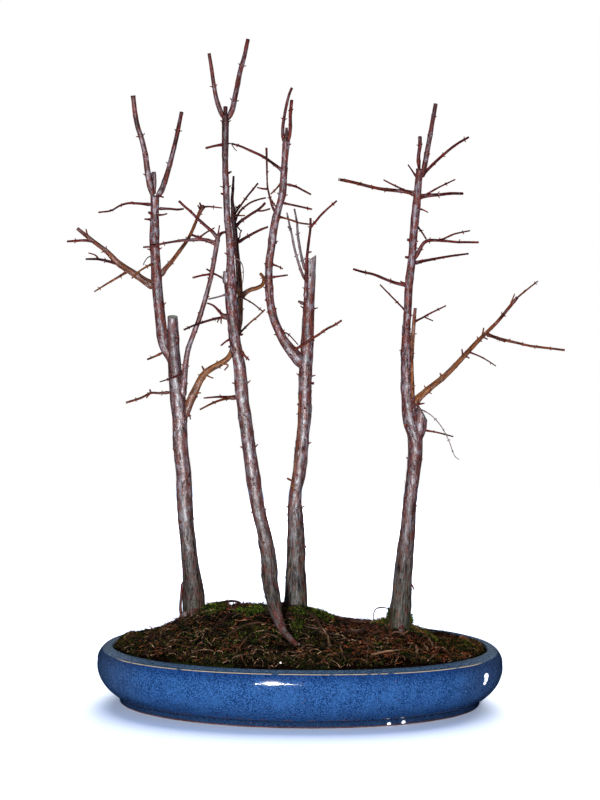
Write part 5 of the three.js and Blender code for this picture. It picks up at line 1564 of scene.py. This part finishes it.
# Thicker patches: x, y, half length, half width, blades, and green (0) or olive (1)
mossPatches = [
    [-70, 3, 9, 7, 200, 0],
    [-32, 4, 9, 11, 280, 0],
    [-31, -36, 15, 8, 260, 1],
    [-3, 4, 10, 8, 300, 0],
    [-3, -30, 5, 15, 200, 0],
    [17, 4, 7, 6, 120, 0],
    [79, -9, 9, 6, 200, 0],
    [95, 8, 10, 9, 280, 0],
    [126, -6, 15, 30, 900, 1],
    [132, 8, 9, 12, 120, 0],
    [-134, 2, 12, 36, 500, 1],
    [20, -94, 70, 6, 500, 1],
    [-60, -88, 34, 7, 260, 1],
    [90, -74, 24, 8, 300, 1],
    [-45, -52, 46, 30, 420, 0],
    [-95, -30, 26, 40, 160, 0],
    [34, -56, 50, 30, 260, 0],
]
for middleX, middleY, halfLength, halfWidth, count, kind in mossPatches:
    for _ in range(count):
        x = dice.gauss(middleX, halfLength * 0.55)
        y = dice.gauss(middleY, halfWidth * 0.55)
        if edgeShare(x, y, lipInner - 2) < 1:
            height = soilHeight(x, y) + crumbs(x, y) * 0.6 + dice.uniform(-0.4, 0.8)
            carpet.append(mossBlade(dice, x, y, height, Vector((0, 0, 0)), kind))
addPiece("moss_carpet", strandMesh("moss_carpet", carpet, [mossGreen, mossOlive]), [])

# Moss that climbs the foot of the right tree
climb = {
    "low": 54,  # height of the lowest blades
    "trunk": 78.6,  # where the trunk stands in the front view
    "behind": 4,
    "girth": (9.4, 8.0),
}
# Angle round the trunk, spread, how high, and how many blades
mossClimbs = [
    [185, 38, 74, 420],
    [300, 30, 68, 340],
    [350, 36, 70, 420],
    [90, 60, 68, 420],
]
climbing = []
for middle, spread, top, count in mossClimbs:
    for _ in range(count):
        height = lerp(climb["low"], top, dice.random() ** 1.4)
        risen = height - climb["low"]
        angle = math.radians(dice.gauss(middle, spread * (1.2 - risen / (top - 40)) * 0.6))
        outward = Vector((math.cos(angle), math.sin(angle), 0))
        spot = seenAt([climb["trunk"], height], rightTree["plane"], climb["behind"])
        spot += outward * lerp(*climb["girth"], risen / 20)
        climbing.append(mossBlade(dice, spot.x, spot.y, spot.z - 0.5, outward * 2.2))
addPiece("climbing_moss", strandMesh("climbing_moss", climbing, [mossGreen]), [])
print("moss planted")


# Floor, light and camera

studio = {
    "keyPower": 50,
    "glintPower": 10,
    "sunPower": 4.9,
    "backPower": 32,
    "sunSpread": 70,  # degrees, so that shadows are soft
    "sky": (0.10, 0.24, 0.50),  # light from all around: the camera sees white, and the glaze mirrors none
    "lens": 80,
    "sensor": 36,
    "pitch": 2.1,  # degrees down
    "roll": 0.57,
}


def floorFinish():
    finish, place = newFinish("pale_floor", Specular_IOR_Level=0.0)
    cast = place.cloud(6, 3.0)
    return applyLook(finish, cast.tint((0.715, 0.75, 0.85), (0.735, 0.77, 0.87)), 0.6)


bpy.ops.mesh.primitive_plane_add(size=4)
floor = bpy.context.object
floor.name = "pale_floor"
floor.data.materials.append(floorFinish())
floor.visible_glossy = False  # the glaze mirrors only the two front lamps


def placeLamp(name, kind, place, target, mirrored, **settings):
    light = bpy.data.lights.new(name, kind)
    for key, value in settings.items():
        setattr(light, key, value)
    lamp = bpy.data.objects.new(name, light)
    lamp.location = place
    lamp.rotation_euler = (Vector(target) - Vector(place)).to_track_quat("-Z", "Y").to_euler()
    lamp.visible_glossy = mirrored
    bpy.context.scene.collection.objects.link(lamp)


# The key and the glint are all that the glaze mirrors: the glint adds a long faint shine on both sides
keyPlace = (-0.19, -1.5, 0.19)
placeLamp("key", "AREA", keyPlace, (0, 0, 0.2), True, shape="ELLIPSE", size=0.10, size_y=0.010,
          energy=studio["keyPower"], color=(0.94, 0.97, 1.0))
placeLamp("glint", "AREA", keyPlace, (0, 0, 0.2), True, shape="ELLIPSE", size=0.36, size_y=0.010,
          energy=studio["glintPower"], color=(0.90, 0.95, 1.0))
placeLamp("soft_sun", "SUN", (0.22, 0.85, 1.35), (0, 0, 0), False, energy=studio["sunPower"],
          angle=math.radians(studio["sunSpread"]), color=(1.0, 0.96, 0.89))
placeLamp("back_fill", "AREA", (0, 1.6, 0.6), (0, 0, 0.15), False, shape="DISK", size=0.8,
          energy=studio["backPower"], color=(1.0, 0.97, 0.92))

world = bpy.data.worlds.new("white_studio")
world.use_nodes = True
bpy.context.scene.world = world
air = world.node_tree.nodes["Background"]
rays = Wire(world.node_tree, None)
seen = rays.node("ShaderNodeLightPath", {}, {})
mirrored = rays.node("ShaderNodeLightPath", {}, {}, 3)
shade = seen.tint(mirrored.tint(studio["sky"], (0, 0, 0)), (1, 1, 1))
world.node_tree.links.new(shade.socket, air.inputs["Color"])
bpy.context.scene.view_settings.view_transform = "Standard"

lens = bpy.data.cameras.new("front_camera")
lens.lens = studio["lens"]
lens.sensor_width = studio["sensor"]
camera = bpy.data.objects.new("front_camera", lens)
camera.location = eye * mm + potMiddle
bpy.context.scene.collection.objects.link(camera)
camera.rotation_euler = (Matrix.Rotation(math.radians(90 - studio["pitch"]), 4, "X")
                         @ Matrix.Rotation(math.radians(studio["roll"]), 4, "Z")).to_euler()
bpy.context.scene.camera = camera

print("forest ready")
